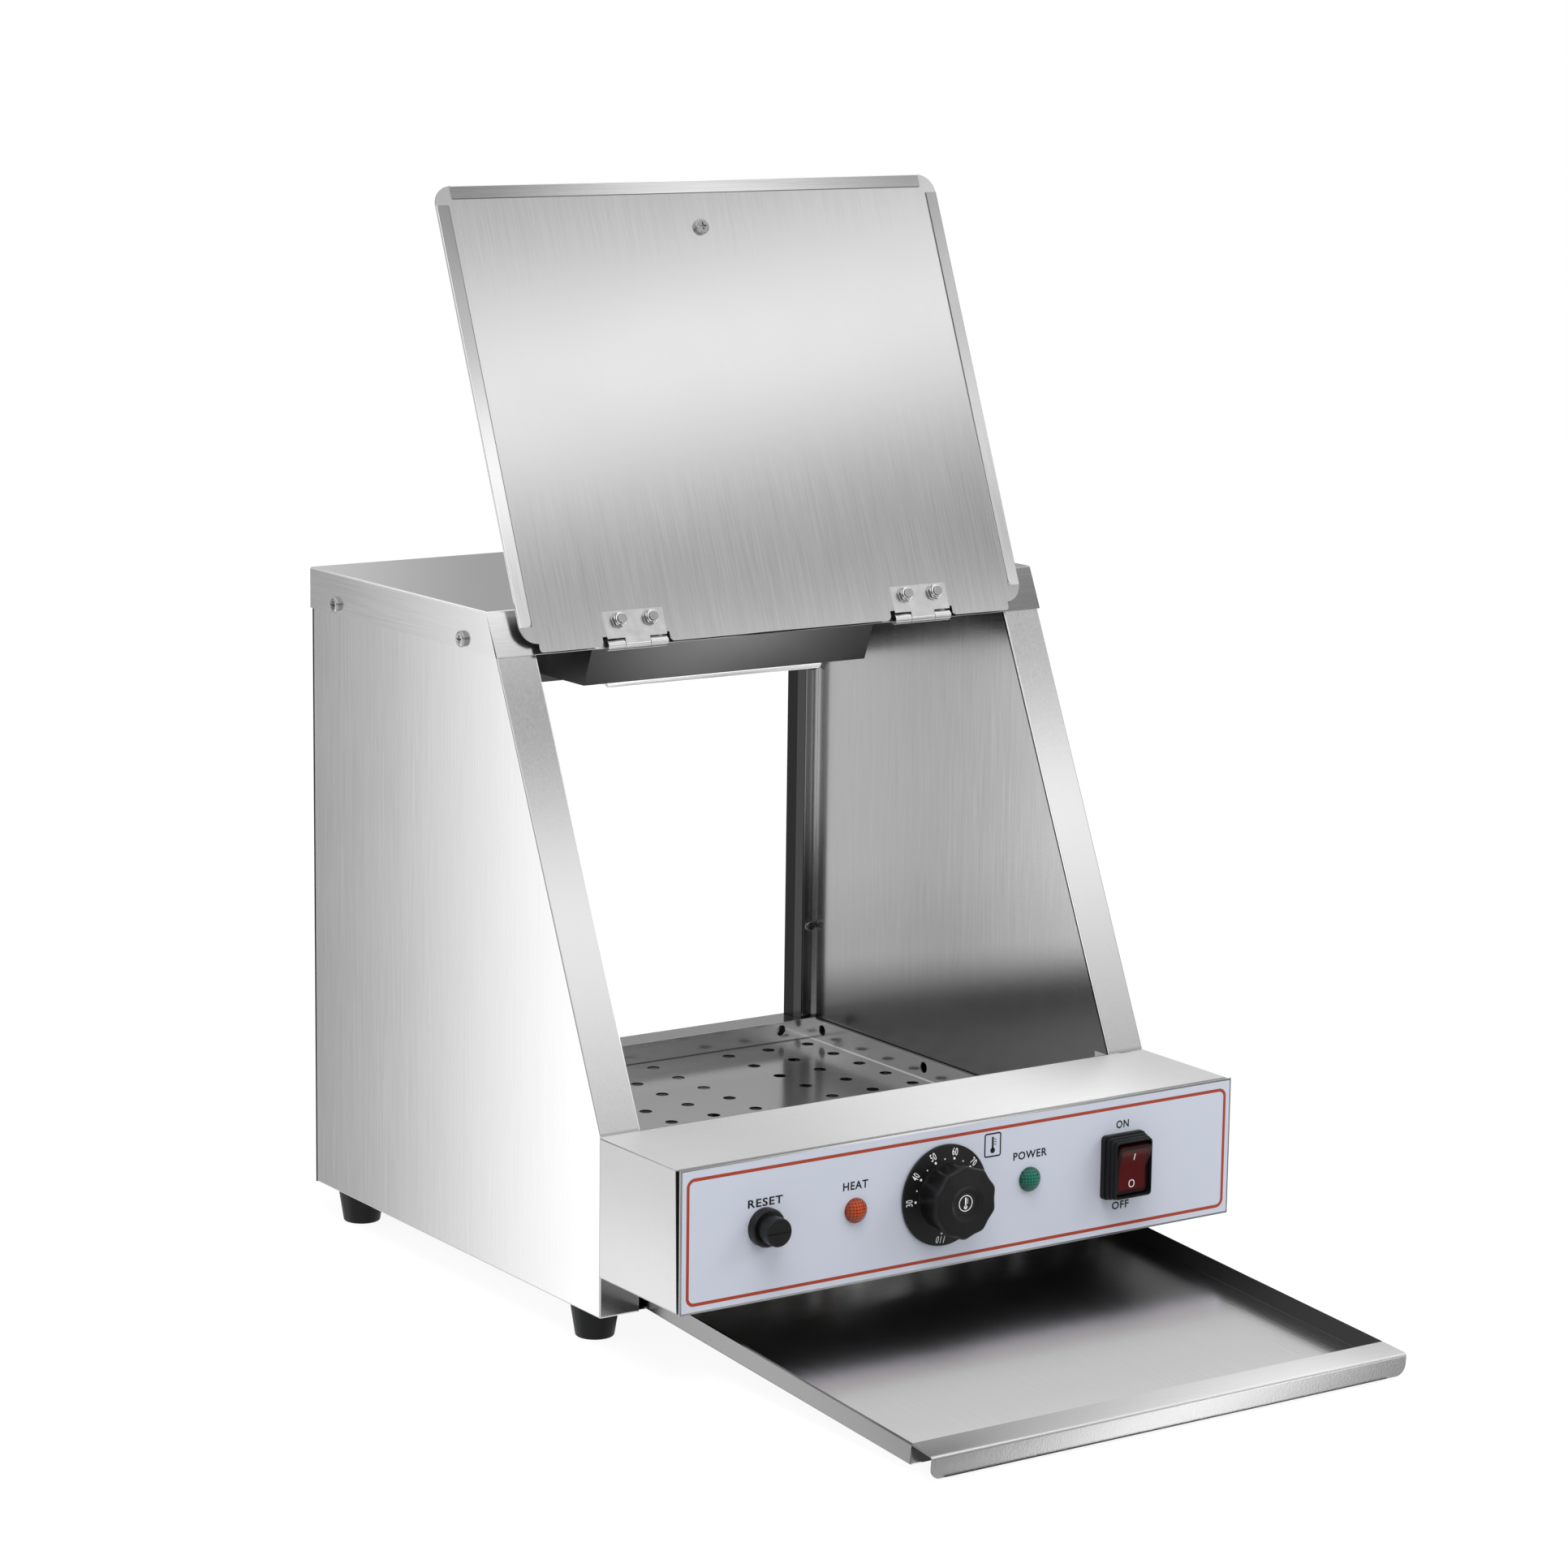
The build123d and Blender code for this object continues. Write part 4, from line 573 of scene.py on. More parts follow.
def plate_level(recipe, x, y, z):
    """A floor with painted light and shade: dark holes, darker upstands, bright lines in the side folds, a
    dark one at the rear and more light towards the rear.
    """
    upstand = z > PLATE_FLOOR + FOLD_LINE
    at_side = abs(x) > PLATE_HALF - FOLD_LINE
    at_rear = y > PLATE_REAR - FOLD_LINE
    low_down = z < PLATE_FLOOR + FOLD_LINE
    upright = abs(recipe.facing()[2]) < MOSTLY
    hole_wall = upright * (z < PLATE_FLOOR) * (1.0 - at_side.larger(at_rear))
    near_rear = ((y - REAR_GLOW_START) / (PLATE_REAR - REAR_GLOW_START)).larger(0.0)
    floor_level = PLATE_TONE - upstand * UPSTAND_SHADE + near_rear * REAR_PAINTED_LIGHT
    level = floor_level + at_side * low_down * SIDE_FOLD_HIGHLIGHT - at_rear * low_down * REAR_FOLD_SHADE
    return level * (1.0 - hole_wall * HOLE_SHADE)


steel_plate = inner_sheet("steel_plate_in_well", plate_level, rough=0.15, metal=0.88)
print("plate:", steel_plate.name)

# %% Painted light and shade of the rear frame
WINDOW_HALF = 0.155
REVEAL_MIDDLE = 0.281
REVEAL_SHADE = 0.1
REVEAL_DEEPER_SHADE = 0.07
FLANGE_WIDTH = 0.0115
FLANGE_LIGHT_AND_SHADE = [(0.0, 0.45), (0.08, 0.16), (0.25, 0.16), (0.8, 0.75), (0.84, 0.02)]
RAIL_MIDDLE = 0.2
RAIL_SHADED_LEVEL = 0.5
RAIL_UPPER_SHADE = 0.42


def rear_level(recipe, x, y, z):
    """Inside, painted light and shade: a dark reveal, a flange that lightens out to a black line of shade at
    the joint, and rails darker at the top. Outside: plain sheet.
    """
    side = abs(x) - WINDOW_HALF
    jamb = side > -SHEET
    flange = side > SHEET
    reveal_level = REVEAL_SHADE - (y > REVEAL_MIDDLE) * REVEAL_DEEPER_SHADE
    flange_level = recipe.ramp((side - SHEET) / FLANGE_WIDTH, FLANGE_LIGHT_AND_SHADE)
    jamb_level = reveal_level * (1.0 - flange) + flange_level * flange
    rail_level = RAIL_SHADED_LEVEL - (z > RAIL_MIDDLE) * RAIL_UPPER_SHADE
    inside_level = jamb_level * jamb + (1.0 - jamb) * rail_level
    outside = recipe.facing()[1] > MOSTLY
    return inside_level * (1.0 - outside) + outside * STEEL


steel_rear = inner_sheet("steel_rear_frame", rear_level, rough=0.2, metal=1.0)
print("rear frame:", steel_rear.name)

# %% [markdown]
# ## Bright fasteners and trim
# Screws, nuts, hinges and the rim of the lamp are bright-drawn or tumbled rather than brushed.
# They are smoother than the sheet. A fine even grain and slight tool marks break up the reflections.

# %% Bright steel
MARK_SIZE = 0.0006
MARK_DEPTH = 0.000008
BRIGHT_CLOUD = 0.006
BRIGHT_DARK = 0.9
BRIGHT_LIGHT = 1.04
BRIGHT_ROUGHNESS = 0.1


def bright_steel(name, steel, rough, glow=0.0):
    """Tumbled steel; a glow is painted light, given as emission."""
    material, recipe = new_finish(name)
    marks = recipe.even_noise(MARK_SIZE, detail=3.0)
    cloud = recipe.even_noise(BRIGHT_CLOUD)
    colour = recipe.blend(cloud, grey(BRIGHT_DARK * steel), grey(BRIGHT_LIGHT * steel))
    recipe.surface({
        "Base Color": colour,
        "Metallic": 1.0,
        "Emission Color": colour,
        "Emission Strength": glow,
        "Roughness": vary(rough, cloud, BRIGHT_ROUGHNESS),
        "Normal": recipe.bump(marks, MARK_DEPTH),
    })
    return material


# The levels of these copies are painted light and shade: the nuts, hinges and lamp rim are lit copies, the
# screws and the shaded steel shaded ones, and the rim gets a painted glow as well.
fastener_steel = bright_steel("steel_fasteners", 0.62, 0.16)
hinge_steel = bright_steel("steel_hinges", 0.76, 0.22)
nut_steel = bright_steel("steel_nuts", 0.92, 0.2)
screw_steel = bright_steel("steel_screws", 0.4, 0.14)
shaded_steel = bright_steel("steel_shaded", 0.2, 0.2)
rim_steel = bright_steel("steel_lamp_rim", 0.96, 0.1, glow=0.4)
reflector_steel = bright_steel("reflector_sheet", 0.9, 0.08)
print("bright steel:", fastener_steel.name, hinge_steel.name, rim_steel.name)

# %% [markdown]
# ## Moulded plastic, rubber and the small finishes
# The knob and the buttons are black phenolic plastic with a fine moulded grain.
# The switch boot and the feet are duller rubber.
# Each is a colour with a slight variation, a grain in the bump and a roughness that is not quite even.

# %% Moulded finishes
MOULD_CLOUD = 0.012
PALER = 1.35
PALEST_BLACK = 0.002
CLOUD_SHARE = 0.5
SPECKLE_SHARE = 0.2
MOULD_ROUGHNESS = 0.12
INK_GRAIN = 0.0004
INK_BUMP = 0.000002
RED_GRAIN = 0.0006
RED_BUMP = 0.000004


def moulded(name, colour, rough, grain, depth, coat=0.0, shine=0.4):
    """Plastic, rubber, ceramic or ink with a fine grain."""
    material, recipe = new_finish(name)
    speckle = recipe.even_noise(grain, detail=3.0)
    cloud = recipe.even_noise(MOULD_CLOUD)
    pale = (*[min(1.0, value * PALER + PALEST_BLACK) for value in colour[:3]], 1)
    recipe.surface({
        "Base Color": recipe.blend(cloud * CLOUD_SHARE + speckle * SPECKLE_SHARE, colour, pale),
        "Roughness": vary(rough, cloud, MOULD_ROUGHNESS),
        "Coat Weight": coat,
        "Specular IOR Level": shine,
        "Normal": recipe.bump(speckle, depth),
    })
    return material


def clear_red(name, colour, rough):
    return moulded(name, colour, rough, RED_GRAIN, RED_BUMP, coat=0.2, shine=0.2)


black_plastic = moulded("black_plastic_moulded", paint(13, 13, 14), 0.32, 0.0007, 0.00001, shine=0.32)
black_rubber = moulded("black_rubber_moulded", paint(15, 16, 17), 0.46, 0.0005, 0.00002, shine=0.22)
grey_plastic = moulded("grey_plastic_moulded", paint(168, 168, 164), 0.45, 0.0006, 0.00001)
ceramic = moulded("ceramic_fired", paint(236, 232, 222), 0.5, 0.0008, 0.00002)
heater_sheath = moulded("heater_sheath_oxidised", paint(82, 74, 68), 0.42, 0.0012, 0.00002)
black_ink = moulded("ink_black", paint(12, 12, 15), 0.5, INK_GRAIN, INK_BUMP)
white_ink = moulded("ink_white", paint(226, 228, 230), 0.5, INK_GRAIN, INK_BUMP)
red_plastic = clear_red("red_plastic_clear", paint(76, 3, 7), 0.2)
dark_red_plastic = clear_red("red_plastic_edge", paint(34, 4, 6), 0.24)
print("moulded finishes:", black_plastic.name, black_rubber.name, red_plastic.name)

# %% Copper and glass
COPPER_CLOUD = 0.01
COPPER_BUMP = 0.00001
GLASS_CLOUD = 0.02
GLASS_BUMP = 0.00002


def copper_tube():
    """Drawn copper that has started to brown."""
    material, recipe = new_finish("copper_drawn")
    cloud = recipe.even_noise(COPPER_CLOUD, detail=3.0)
    recipe.surface({
        "Base Color": recipe.blend(cloud, paint(196, 122, 88), paint(150, 92, 66)),
        "Metallic": 1.0,
        "Roughness": vary(0.295, cloud, 0.15),
        "Normal": recipe.bump(cloud, COPPER_BUMP),
    })
    return material


def lamp_glass():
    """Heat-proof glass, a little frosted by use."""
    material, recipe = new_finish("lamp_glass_heatproof")
    cloud = recipe.even_noise(GLASS_CLOUD, detail=3.0)
    recipe.surface({
        "Base Color": recipe.blend(cloud, paint(235, 240, 240), paint(246, 248, 248)),
        "Roughness": vary(0.1, cloud, 0.1),
        "Transmission Weight": 0.85,
        "IOR": 1.47,
        "Normal": recipe.bump(cloud, GLASS_BUMP),
    })
    return material


copper = copper_tube()
glass = lamp_glass()
print("copper and glass:", copper.name, glass.name)

# %% [markdown]
# ## Side panels
# Each side is one sheet, cut to the slope and folded in all round.
# The fold along the slope is the post beside the hatch.
# A block of the right size is cut by the plane of the slope and opened towards the inside.
# Then it is rounded along its folds and given its thickness.
# Rounded folds matter more than they seem: they are the bright lines that outline a steel cabinet.

# %% Folding the side panels
FOLD_RADIUS = 0.0011
FOLD_STEPS = 3


def cut_slope(foot):
    """Cuts the open mesh along the plane of the slope, through a point at its foot."""
    bpy.ops.mesh.bisect(plane_co=foot, plane_no=slope_out, use_fill=True, clear_outer=True)


def round_folds(test=inner_edge, radius=FOLD_RADIUS, steps=FOLD_STEPS):
    """Rounds the edges of the open mesh that a test accepts."""
    pick("EDGE", test)
    bpy.ops.mesh.bevel(offset=radius, segments=steps, affect="EDGES")


def drop_faces(test):
    pick("FACE", test)
    bpy.ops.mesh.delete(type="FACE")


def side_panel(node, side):
    panel = box_piece("folded_" + node, *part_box(node))
    # The right post gets its own steel, with painted light along it.
    give_finishes(panel, steel_upright, steel_right_post if side > 0 else steel_upright)
    open_mesh(panel)
    cut_slope((0, cabinet_front, SLOPE_FOOT))
    drop_faces(lambda face: face.normal.x * side < -SQUARELY)
    round_folds()
    paint_faces(panel, 1, lambda face: face.normal.y < -MOSTLY)
    close_mesh()
    thicken(panel)
    smooth(panel)
    settle(panel, "cabinet", "brushed_sheet", node)


side_panel("side_panel_left", -1)
side_panel("side_panel_right", 1)

# %% [markdown]
# ## Top cover
# The cover is a tray turned upside down. Its front flange lies on the slope and carries the hinges.
# The flanges are not welded at the corners, so a fine dark seam shows there.
# For that the corner edges are split, the front flange is drawn in a hair and the front ends of the side
# flanges are painted shade.

# %% Folding the top cover
SEAM = 0.0005


def top_cover():
    low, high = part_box("top_cover")
    cover = box_piece("folded_top_cover", low, high)
    give_finishes(cover, steel_across, steel_flange, steel_side_flange, steel_fold_highlight, steel_painted_shade)
    open_mesh(cover)
    cut_slope((0, low.y, low.z))
    drop_faces(lambda face: face.normal.z < -SQUARELY)
    pick("EDGE", lambda edge: inner_edge(edge) and rising(edge))
    bpy.ops.mesh.edge_split(type="EDGE")
    for side in (-1, 1):
        pick("VERT", lambda corner: near(corner.co.x, side * high.x) and corner.co.z < high.z - SHEET
             and any(abs(face.normal.y) > MOSTLY for face in corner.link_faces))
        bpy.ops.transform.translate(value=(-side * SEAM, 0, 0))
    round_folds()
    # Painted light and shade: the front flange gets light along it, the side flanges are a little darker and
    # the rounded corners between top and sides get a painted highlight.
    paint_faces(cover, 1, lambda face: face.normal.y < -MOSTLY)
    paint_faces(cover, 2, lambda face: abs(face.normal.x) > SQUARELY)
    paint_faces(cover, 3, lambda face: abs(face.normal.x) > SLIGHTLY and face.normal.z > SLIGHTLY)
    close_mesh()
    thicken(cover)
    open_mesh(cover)
    # The front ends of the side flanges are painted shade, which darkens the seams at the corners.
    paint_faces(cover, 4, lambda face: face.normal.y < -MOSTLY and abs(middle(face).x) > high.x - SHEET)
    close_mesh()
    smooth(cover)
    settle(cover, "cabinet", "brushed_sheet", "top_cover")


top_cover()

# %% [markdown]
# ## Control box
# The case of the control box is a strip folded round into a tube, with lips that screw to the posts.
# It is open in front, where the fascia closes it; the gap that is left there widens a little towards the top.

# %% Folding the case of the control box
BOX_LIP = 0.0185
GAP_FOOT = 0.0014
GAP_HEAD = -0.0006


def box_shell():
    low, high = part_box("box_shell")
    shell = box_piece("folded_box_shell", low, high)
    give_finishes(shell, steel_cheek, steel_box_top, steel_painted_shade)
    open_mesh(shell)
    drop_faces(lambda face: abs(face.normal.y) > SQUARELY)
    for side in (-1, 1):
        pick("EDGE", lambda edge: lies(edge, 0, side * high.x) and lies(edge, 1, high.y))
        bpy.ops.mesh.extrude_edges_move(TRANSFORM_OT_translate={"value": (-side * BOX_LIP, 0, 0)})
    for height, reach in ((low.z, GAP_FOOT), (high.z, GAP_HEAD)):
        pick("VERT", lambda corner: near(corner.co.y, low.y) and near(corner.co.z, height))
        bpy.ops.transform.translate(value=(0, -reach, 0))
    round_folds()
    # Painted light and shade: the cheeks and the top take it from their steel, and the underside is painted
    # shade.
    paint_faces(shell, 1, lambda face: face.normal.z > SQUARELY)
    paint_faces(shell, 2, lambda face: face.normal.z < -SQUARELY)
    close_mesh()
    thicken(shell)
    smooth(shell)
    settle(shell, "cabinet", "brushed_sheet", "box_shell")


box_shell()

# %% The fascia and its return
RETURN_INSET = 0.0012
FASCIA_ROUND = 0.00025


def fascia():
    low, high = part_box("fascia")
    plate = box_piece("fascia_plate", low, (high.x, low.y + SHEET, high.z))
    soften(plate, FASCIA_ROUND)
    give_finishes(plate, steel_across)
    shift = Vector((RETURN_INSET, 0, RETURN_INSET))
    edge = box_piece("fascia_return", Vector((low.x, low.y + SHEET, low.z)) + shift, high - shift)
    open_mesh(edge)
    drop_faces(lambda face: abs(face.normal.y) > SQUARELY)
    close_mesh()
    thicken(edge)
    # The return is painted shade, so the gap round the fascia reads dark.
    give_finishes(edge, steel_painted_shade)
    both = join("fascia_with_return", [plate, edge])
    smooth(both)
    settle(both, "cabinet", "brushed_sheet", "fascia")


fascia()

# %% [markdown]
# ## Lid
# The lid is a flat sheet with round corners, notched for the hinges.
# Its edges are hemmed over to make them safe to touch.
# It is drawn flat on the floor, where distances are easy, and stood up on the hinge pin at the end.
# Cuts across the sheet mark the notches and the stepped foot; corner bevels round the outline.

# %% Cutting sheet and rounding its corners
def cut_across(axis, value):
    """Adds a cut through the open mesh at one value along an axis."""
    spot = Vector()
    spot[axis] = value
    normal = Vector()
    normal[axis] = 1
    bpy.ops.mesh.select_mode(type="FACE")
    bpy.ops.mesh.select_all(action="SELECT")
    bpy.ops.mesh.bisect(plane_co=spot, plane_no=normal)


def round_corners(test, radius, steps):
    """Rounds the corners of the open mesh that a test accepts."""
    pick("VERT", test)
    bpy.ops.mesh.bevel(offset=radius, segments=steps, affect="VERTICES")


def at(corner, x, y):
    """True if a corner lies at a place on the flat, on either side of the middle."""
    return near(abs(corner.co.x), x) and near(corner.co.y, y)


# %% The sheet of the lid
LID_HALF = 0.1753
LID_FOOT = -0.0006
LID_END = 0.2734
LID_FACE = 0.0018
LID_TOP_CORNER = 0.0115
LID_BOTTOM_CORNER = 0.0112
LID_CORNER_STEPS = 10
LID_STEP = 0.005
NOTCH_HALF = 0.0225
NOTCH_HEIGHT = 0.0055
NOTCH_CORNER = 0.003
NOTCH_STEPS = 5
FOOT_STEPS = 4
HINGE_X = 0.100
FLAT_ANGLE = radians(1)
foot_half = LID_HALF - LID_BOTTOM_CORNER
shoulder = LID_FOOT + LID_STEP
notch_top = LID_FOOT + NOTCH_HEIGHT
notch_sides = (HINGE_X - NOTCH_HALF, HINGE_X + NOTCH_HALF)


def in_notch(face):
    spot = middle(face)
    return abs(abs(spot.x) - HINGE_X) < NOTCH_HALF and spot.y < notch_top


def beside_foot(face):
    spot = middle(face)
    return abs(spot.x) > foot_half and spot.y < shoulder


def lid_sheet():
    spot = (0, (LID_END + LID_FOOT) / 2, LID_FACE)
    sheet = flat_piece("lid_sheet", 2 * LID_HALF, LID_END - LID_FOOT, spot)
    open_mesh(sheet)
    for value in (shoulder, notch_top):
        cut_across(1, value)
    for side in (-1, 1):
        for value in (foot_half, *notch_sides):
            cut_across(0, side * value)
    drop_faces(in_notch)
    drop_faces(beside_foot)
    bpy.ops.mesh.select_all(action="SELECT")
    bpy.ops.mesh.dissolve_limited(angle_limit=FLAT_ANGLE)
    round_corners(lambda corner: at(corner, LID_HALF, LID_END), LID_TOP_CORNER, LID_CORNER_STEPS)
    round_corners(lambda corner: at(corner, LID_HALF, shoulder), LID_BOTTOM_CORNER, LID_CORNER_STEPS)
    round_corners(lambda corner: any(at(corner, x, LID_FOOT) for x in notch_sides), NOTCH_CORNER, NOTCH_STEPS)
    round_corners(lambda corner: at(corner, foot_half, LID_FOOT), NOTCH_CORNER / 2, FOOT_STEPS)
    close_mesh()
    thicken(sheet)
    give_finishes(sheet, steel_lid)
    return sheet


sheet = lid_sheet()
print("sheet of the lid:", len(sheet.data.polygons), "faces")

# %% The hems of the lid
LID_BACK = 0.0010
HEM = 0.0077
HEM_START = 0.0148
HEM_ROUND = 0.00075
HEM_ROUND_STEPS = 4
HEM_CORNER = 0.003
HEM_CORNER_STEPS = 5
HEM_SINK = 0.0002
HEM_SHADE_THIN = 0.00035
HEM_SHADE_RISE = HEM_SHADE_THIN / 8
HEM_SHADE_EDGE = 0.00002
HEM_SHADE = 0.0010
hem_low = LID_BACK + HEM_SINK
hem_top = LID_FACE + SHEET


def hem_strip(name, low, high, outer_axis, outer_value, corner_test, finish):
    """A strip folded back on the sheet, with a painted highlight along its round fold and a snipped inner
    corner.
    """
    strip = box_piece(name, low, high)
    give_finishes(strip, finish, steel_fold_highlight, steel_lid)
    outward = 1 if outer_value > 0 else -1

    def on_fold(edge):
        return lies(edge, outer_axis, outer_value) and not rising(edge)

    open_mesh(strip)
    round_folds(lambda edge: corner_test(middle(edge)) and rising(edge), HEM_CORNER, HEM_CORNER_STEPS)
    round_folds(on_fold, HEM_ROUND, HEM_ROUND_STEPS)
    paint_faces(strip, 1, lambda face: face.normal[outer_axis] * outward > SLIGHTLY)
    paint_faces(strip, 2, lambda face: face.normal.z < -PARTLY)
    close_mesh()
    return strip


def hem_gap(start, end):
    """A line of painted shade where the folded edge meets the sheet, between two corners on the flat."""
    line = box_piece("hem_gap", (*start, LID_FACE), (*end, LID_FACE + HEM_SHADE_RISE))
    soften(line, HEM_SHADE_EDGE)
    give_finishes(line, steel_crease_shade)
    return line


# %% Hemming the lid and standing it up
def lid_hems():
    strips = []
    start = LID_FOOT + HEM_START
    crown = LID_END - LID_TOP_CORNER
    for side in (-1, 1):
        edge = side * LID_HALF
        inner = edge - side * HEM
        low = (min(edge, inner), start, hem_low)
        high = (max(edge, inner), crown, hem_top)

        def inner_foot(spot):
            return near(spot.x, inner) and near(spot.y, start)

        # The side hems and the top hem carry painted light along them in their steel.
        strips.append(hem_strip("hem_side", low, high, 0, edge, inner_foot, steel_hem))
        line = inner + HEM_SHADE if side < 0 else inner - HEM_SHADE_THIN
        strips.append(hem_gap((min(line, inner), start), (max(line, inner), crown)))
    top_half = LID_HALF - LID_TOP_CORNER
    top_inner = LID_END - HEM
    low = (-top_half, top_inner, hem_low)
    high = (top_half, LID_END, hem_top)
    strips.append(hem_strip("hem_top", low, high, 1, LID_END, lambda spot: False, steel_top_hem))
    strips.append(hem_gap((-top_half, top_inner - HEM_SHADE_THIN), (top_half, top_inner)))
    return strips


lid = join("lid_sheet_with_hems", [sheet] + lid_hems())
apply_place(lid, lid_place)
smooth(lid)
settle(lid, "lid", "brushed_sheet", "lid_panel")

# %% [markdown]
# ## Lips of the perforated plate
# The plate lies loose in the well.
# Its sides are turned out at the top, so that crumbs do not fall down beside it.
# Each lip is a strip along the upstand.
# It stops a little short of the liner, which leaves only a fine dark line.

# %% Turning the lips out
LIP_GAP = 0.0010
LIP_ROUND = 0.0003


def plate_lips():
    low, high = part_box("perforated_plate")
    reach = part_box("liner_right")[0].x - LIP_GAP
    lips = []
    for side in (-1, 1):
        inner = side * (high.x - SHEET / 2)
        outer = side * reach
        start = (min(inner, outer), low.y + SHEET, high.z - SHEET)
        lip = box_piece("lip", start, (max(inner, outer), high.y - SHEET, high.z + SHEET / 4))
        soften(lip, LIP_ROUND)
        lips.append(lip)
    both = join("plate_lips", lips)
    smooth(both)
    hand_over(both, "plate", "brushed_sheet", steel_plate)


plate_lips()

# %% [markdown]
# ## Crumb tray
# The tray is a shallow pan whose front edge is folded forward and then down, which makes the handle.
# A block is opened at the top and its front edge is extruded twice.
# The folds are rounded before the sheet gets its thickness.

# %% Folding the tray
TRAY_HALF = 0.1606
TRAY_FRONT = -0.2541
TRAY_REAR = 0.1089
TRAY_WALL = 0.0119
HANDLE_DEPTH = 0.0182
HANDLE_DROOP = radians(2.6)
LIP_HEIGHT = 0.0127
LIP_CORNER = 0.006
LIP_CORNER_STEPS = 7
WALL_FACING = 0.35


def front_rim(edge):
    return lies(edge, 1, TRAY_FRONT) and middle(edge).z > TRAY_WALL / 2 and not rising(edge)


def faces_inwards(face):
    return face.normal.x * middle(face).x < -WALL_FACING * abs(middle(face).x)


def crumb_tray():
    tray = box_piece("folded_crumb_tray", (-TRAY_HALF, TRAY_FRONT, 0), (TRAY_HALF, TRAY_REAR, TRAY_WALL))
    give_finishes(tray, steel_tray, steel_tray_wall_shade, steel_painted_shade, steel_handle)
    open_mesh(tray)
    drop_faces(lambda face: face.normal.z > SQUARELY)
    pick("EDGE", front_rim)
    bpy.ops.transform.translate(value=(0, 0, -SHEET))
    reach = HANDLE_DEPTH - SHEET
    drop = LIP_HEIGHT - SHEET
    forward = Vector((0, -reach * cos(HANDLE_DROOP), -reach * sin(HANDLE_DROOP)))
    down = Vector((0, drop * sin(HANDLE_DROOP), -drop * cos(HANDLE_DROOP)))
    for step in (forward, down):
        bpy.ops.mesh.extrude_edges_move(TRANSFORM_OT_translate={"value": step})
    lip_foot = Vector((TRAY_HALF, TRAY_FRONT, TRAY_WALL - SHEET)) + forward + down
    round_corners(lambda corner: at(corner, lip_foot.x, lip_foot.y) and near(corner.co.z, lip_foot.z),
                  LIP_CORNER, LIP_CORNER_STEPS)
    round_folds()
    close_mesh()
    thicken(tray)
    open_mesh(tray)
    # The side walls are painted shade, darkest on their inner faces, and the top of the handle gets painted
    # light along it.
    paint_faces(tray, 1, lambda face: abs(face.normal.x) > WALL_FACING)
    paint_faces(tray, 2, faces_inwards)
    paint_faces(tray, 3, lambda face: face.normal.z > SQUARELY and middle(face).y < TRAY_FRONT - FOLD_RADIUS)
    close_mesh()
    apply_place(tray, tray_place)
    smooth(tray)
    settle(tray, "tray", "brushed_sheet", "crumb_tray")


crumb_tray()

# %% [markdown]
# ## Turned pieces
# The knob, the lenses and the nuts' collars are round.
# Their outline is drawn point by point from a single corner, then spun about its axis.
# Spinning can leave doubled corners on the axis, so they are merged.
# The faces are turned outwards afterwards.

# %% Spinning an outline
def turned_piece(name, outline, sides):
    """A piece spun about Z from an outline of (radius, height) points."""
    piece = fresh(name, bpy.ops.mesh.primitive_plane_add, size=SHEET)
    points = [Vector((radius, 0, height)) for radius, height in outline]
    open_mesh(piece)
    bpy.ops.mesh.merge(type="CENTER")
    bpy.ops.transform.translate(value=points[0])
    for start, end in zip(points, points[1:]):
        bpy.ops.mesh.extrude_vertices_move(TRANSFORM_OT_translate={"value": end - start})
    bpy.ops.mesh.select_all(action="SELECT")
    bpy.ops.mesh.spin(steps=sides, angle=2 * pi, center=(0, 0, 0), axis=(0, 0, 1))
    bpy.ops.mesh.select_all(action="SELECT")
    bpy.ops.mesh.remove_doubles(threshold=TOUCH / 10)
    bpy.ops.mesh.normals_make_consistent(inside=False)
    close_mesh()
    return piece


# %% [markdown]
# ## Thermostat knob
# The knob has a flat dial skirt with the scale, and a grip that flares towards the front.
# Shallow flutes in the grip are for the fingers.
# The grip is spun like the rest.
# Then each corner of it is drawn in towards the axis where a flute runs, deepest at the crown.

# %% Outline of the knob
SKIRT_RADIUS = 0.0291
SKIRT_RIM = 0.0015
SKIRT_TOP = 0.003
SKIRT_INNER = 0.0196
NECK_RADIUS = 0.0188
GRIP_RADIUS = 0.0212
GRIP_HEIGHT = 0.022
GRIP_FLARE = 1.3
GRIP_STEPS = 8
CROWN_ROUND = 0.0018
CROWN_STEPS = 5
FACE_RISE = 0.0007
DISH_RADIUS = 0.0105
DISH_DEPTH = 0.0015
DISH_FLOOR = 0.0062
DISH_STEPS = 7
BORE_RADIUS = 0.00305
BORE_DEPTH = 0.016
EDGE_ROUND = 0.0004


def skirt_outline():
    """From the bore round the rim of the skirt to the foot of the grip."""
    inside = SKIRT_RADIUS - EDGE_ROUND
    points = [(BORE_RADIUS, BORE_DEPTH), (BORE_RADIUS, 0), (inside, 0), (SKIRT_RADIUS, EDGE_ROUND)]
    points += [(SKIRT_RADIUS, SKIRT_RIM - EDGE_ROUND), (inside, SKIRT_RIM)]
    return points + [(SKIRT_INNER, SKIRT_TOP), (NECK_RADIUS + EDGE_ROUND, SKIRT_TOP + EDGE_ROUND / 2)]


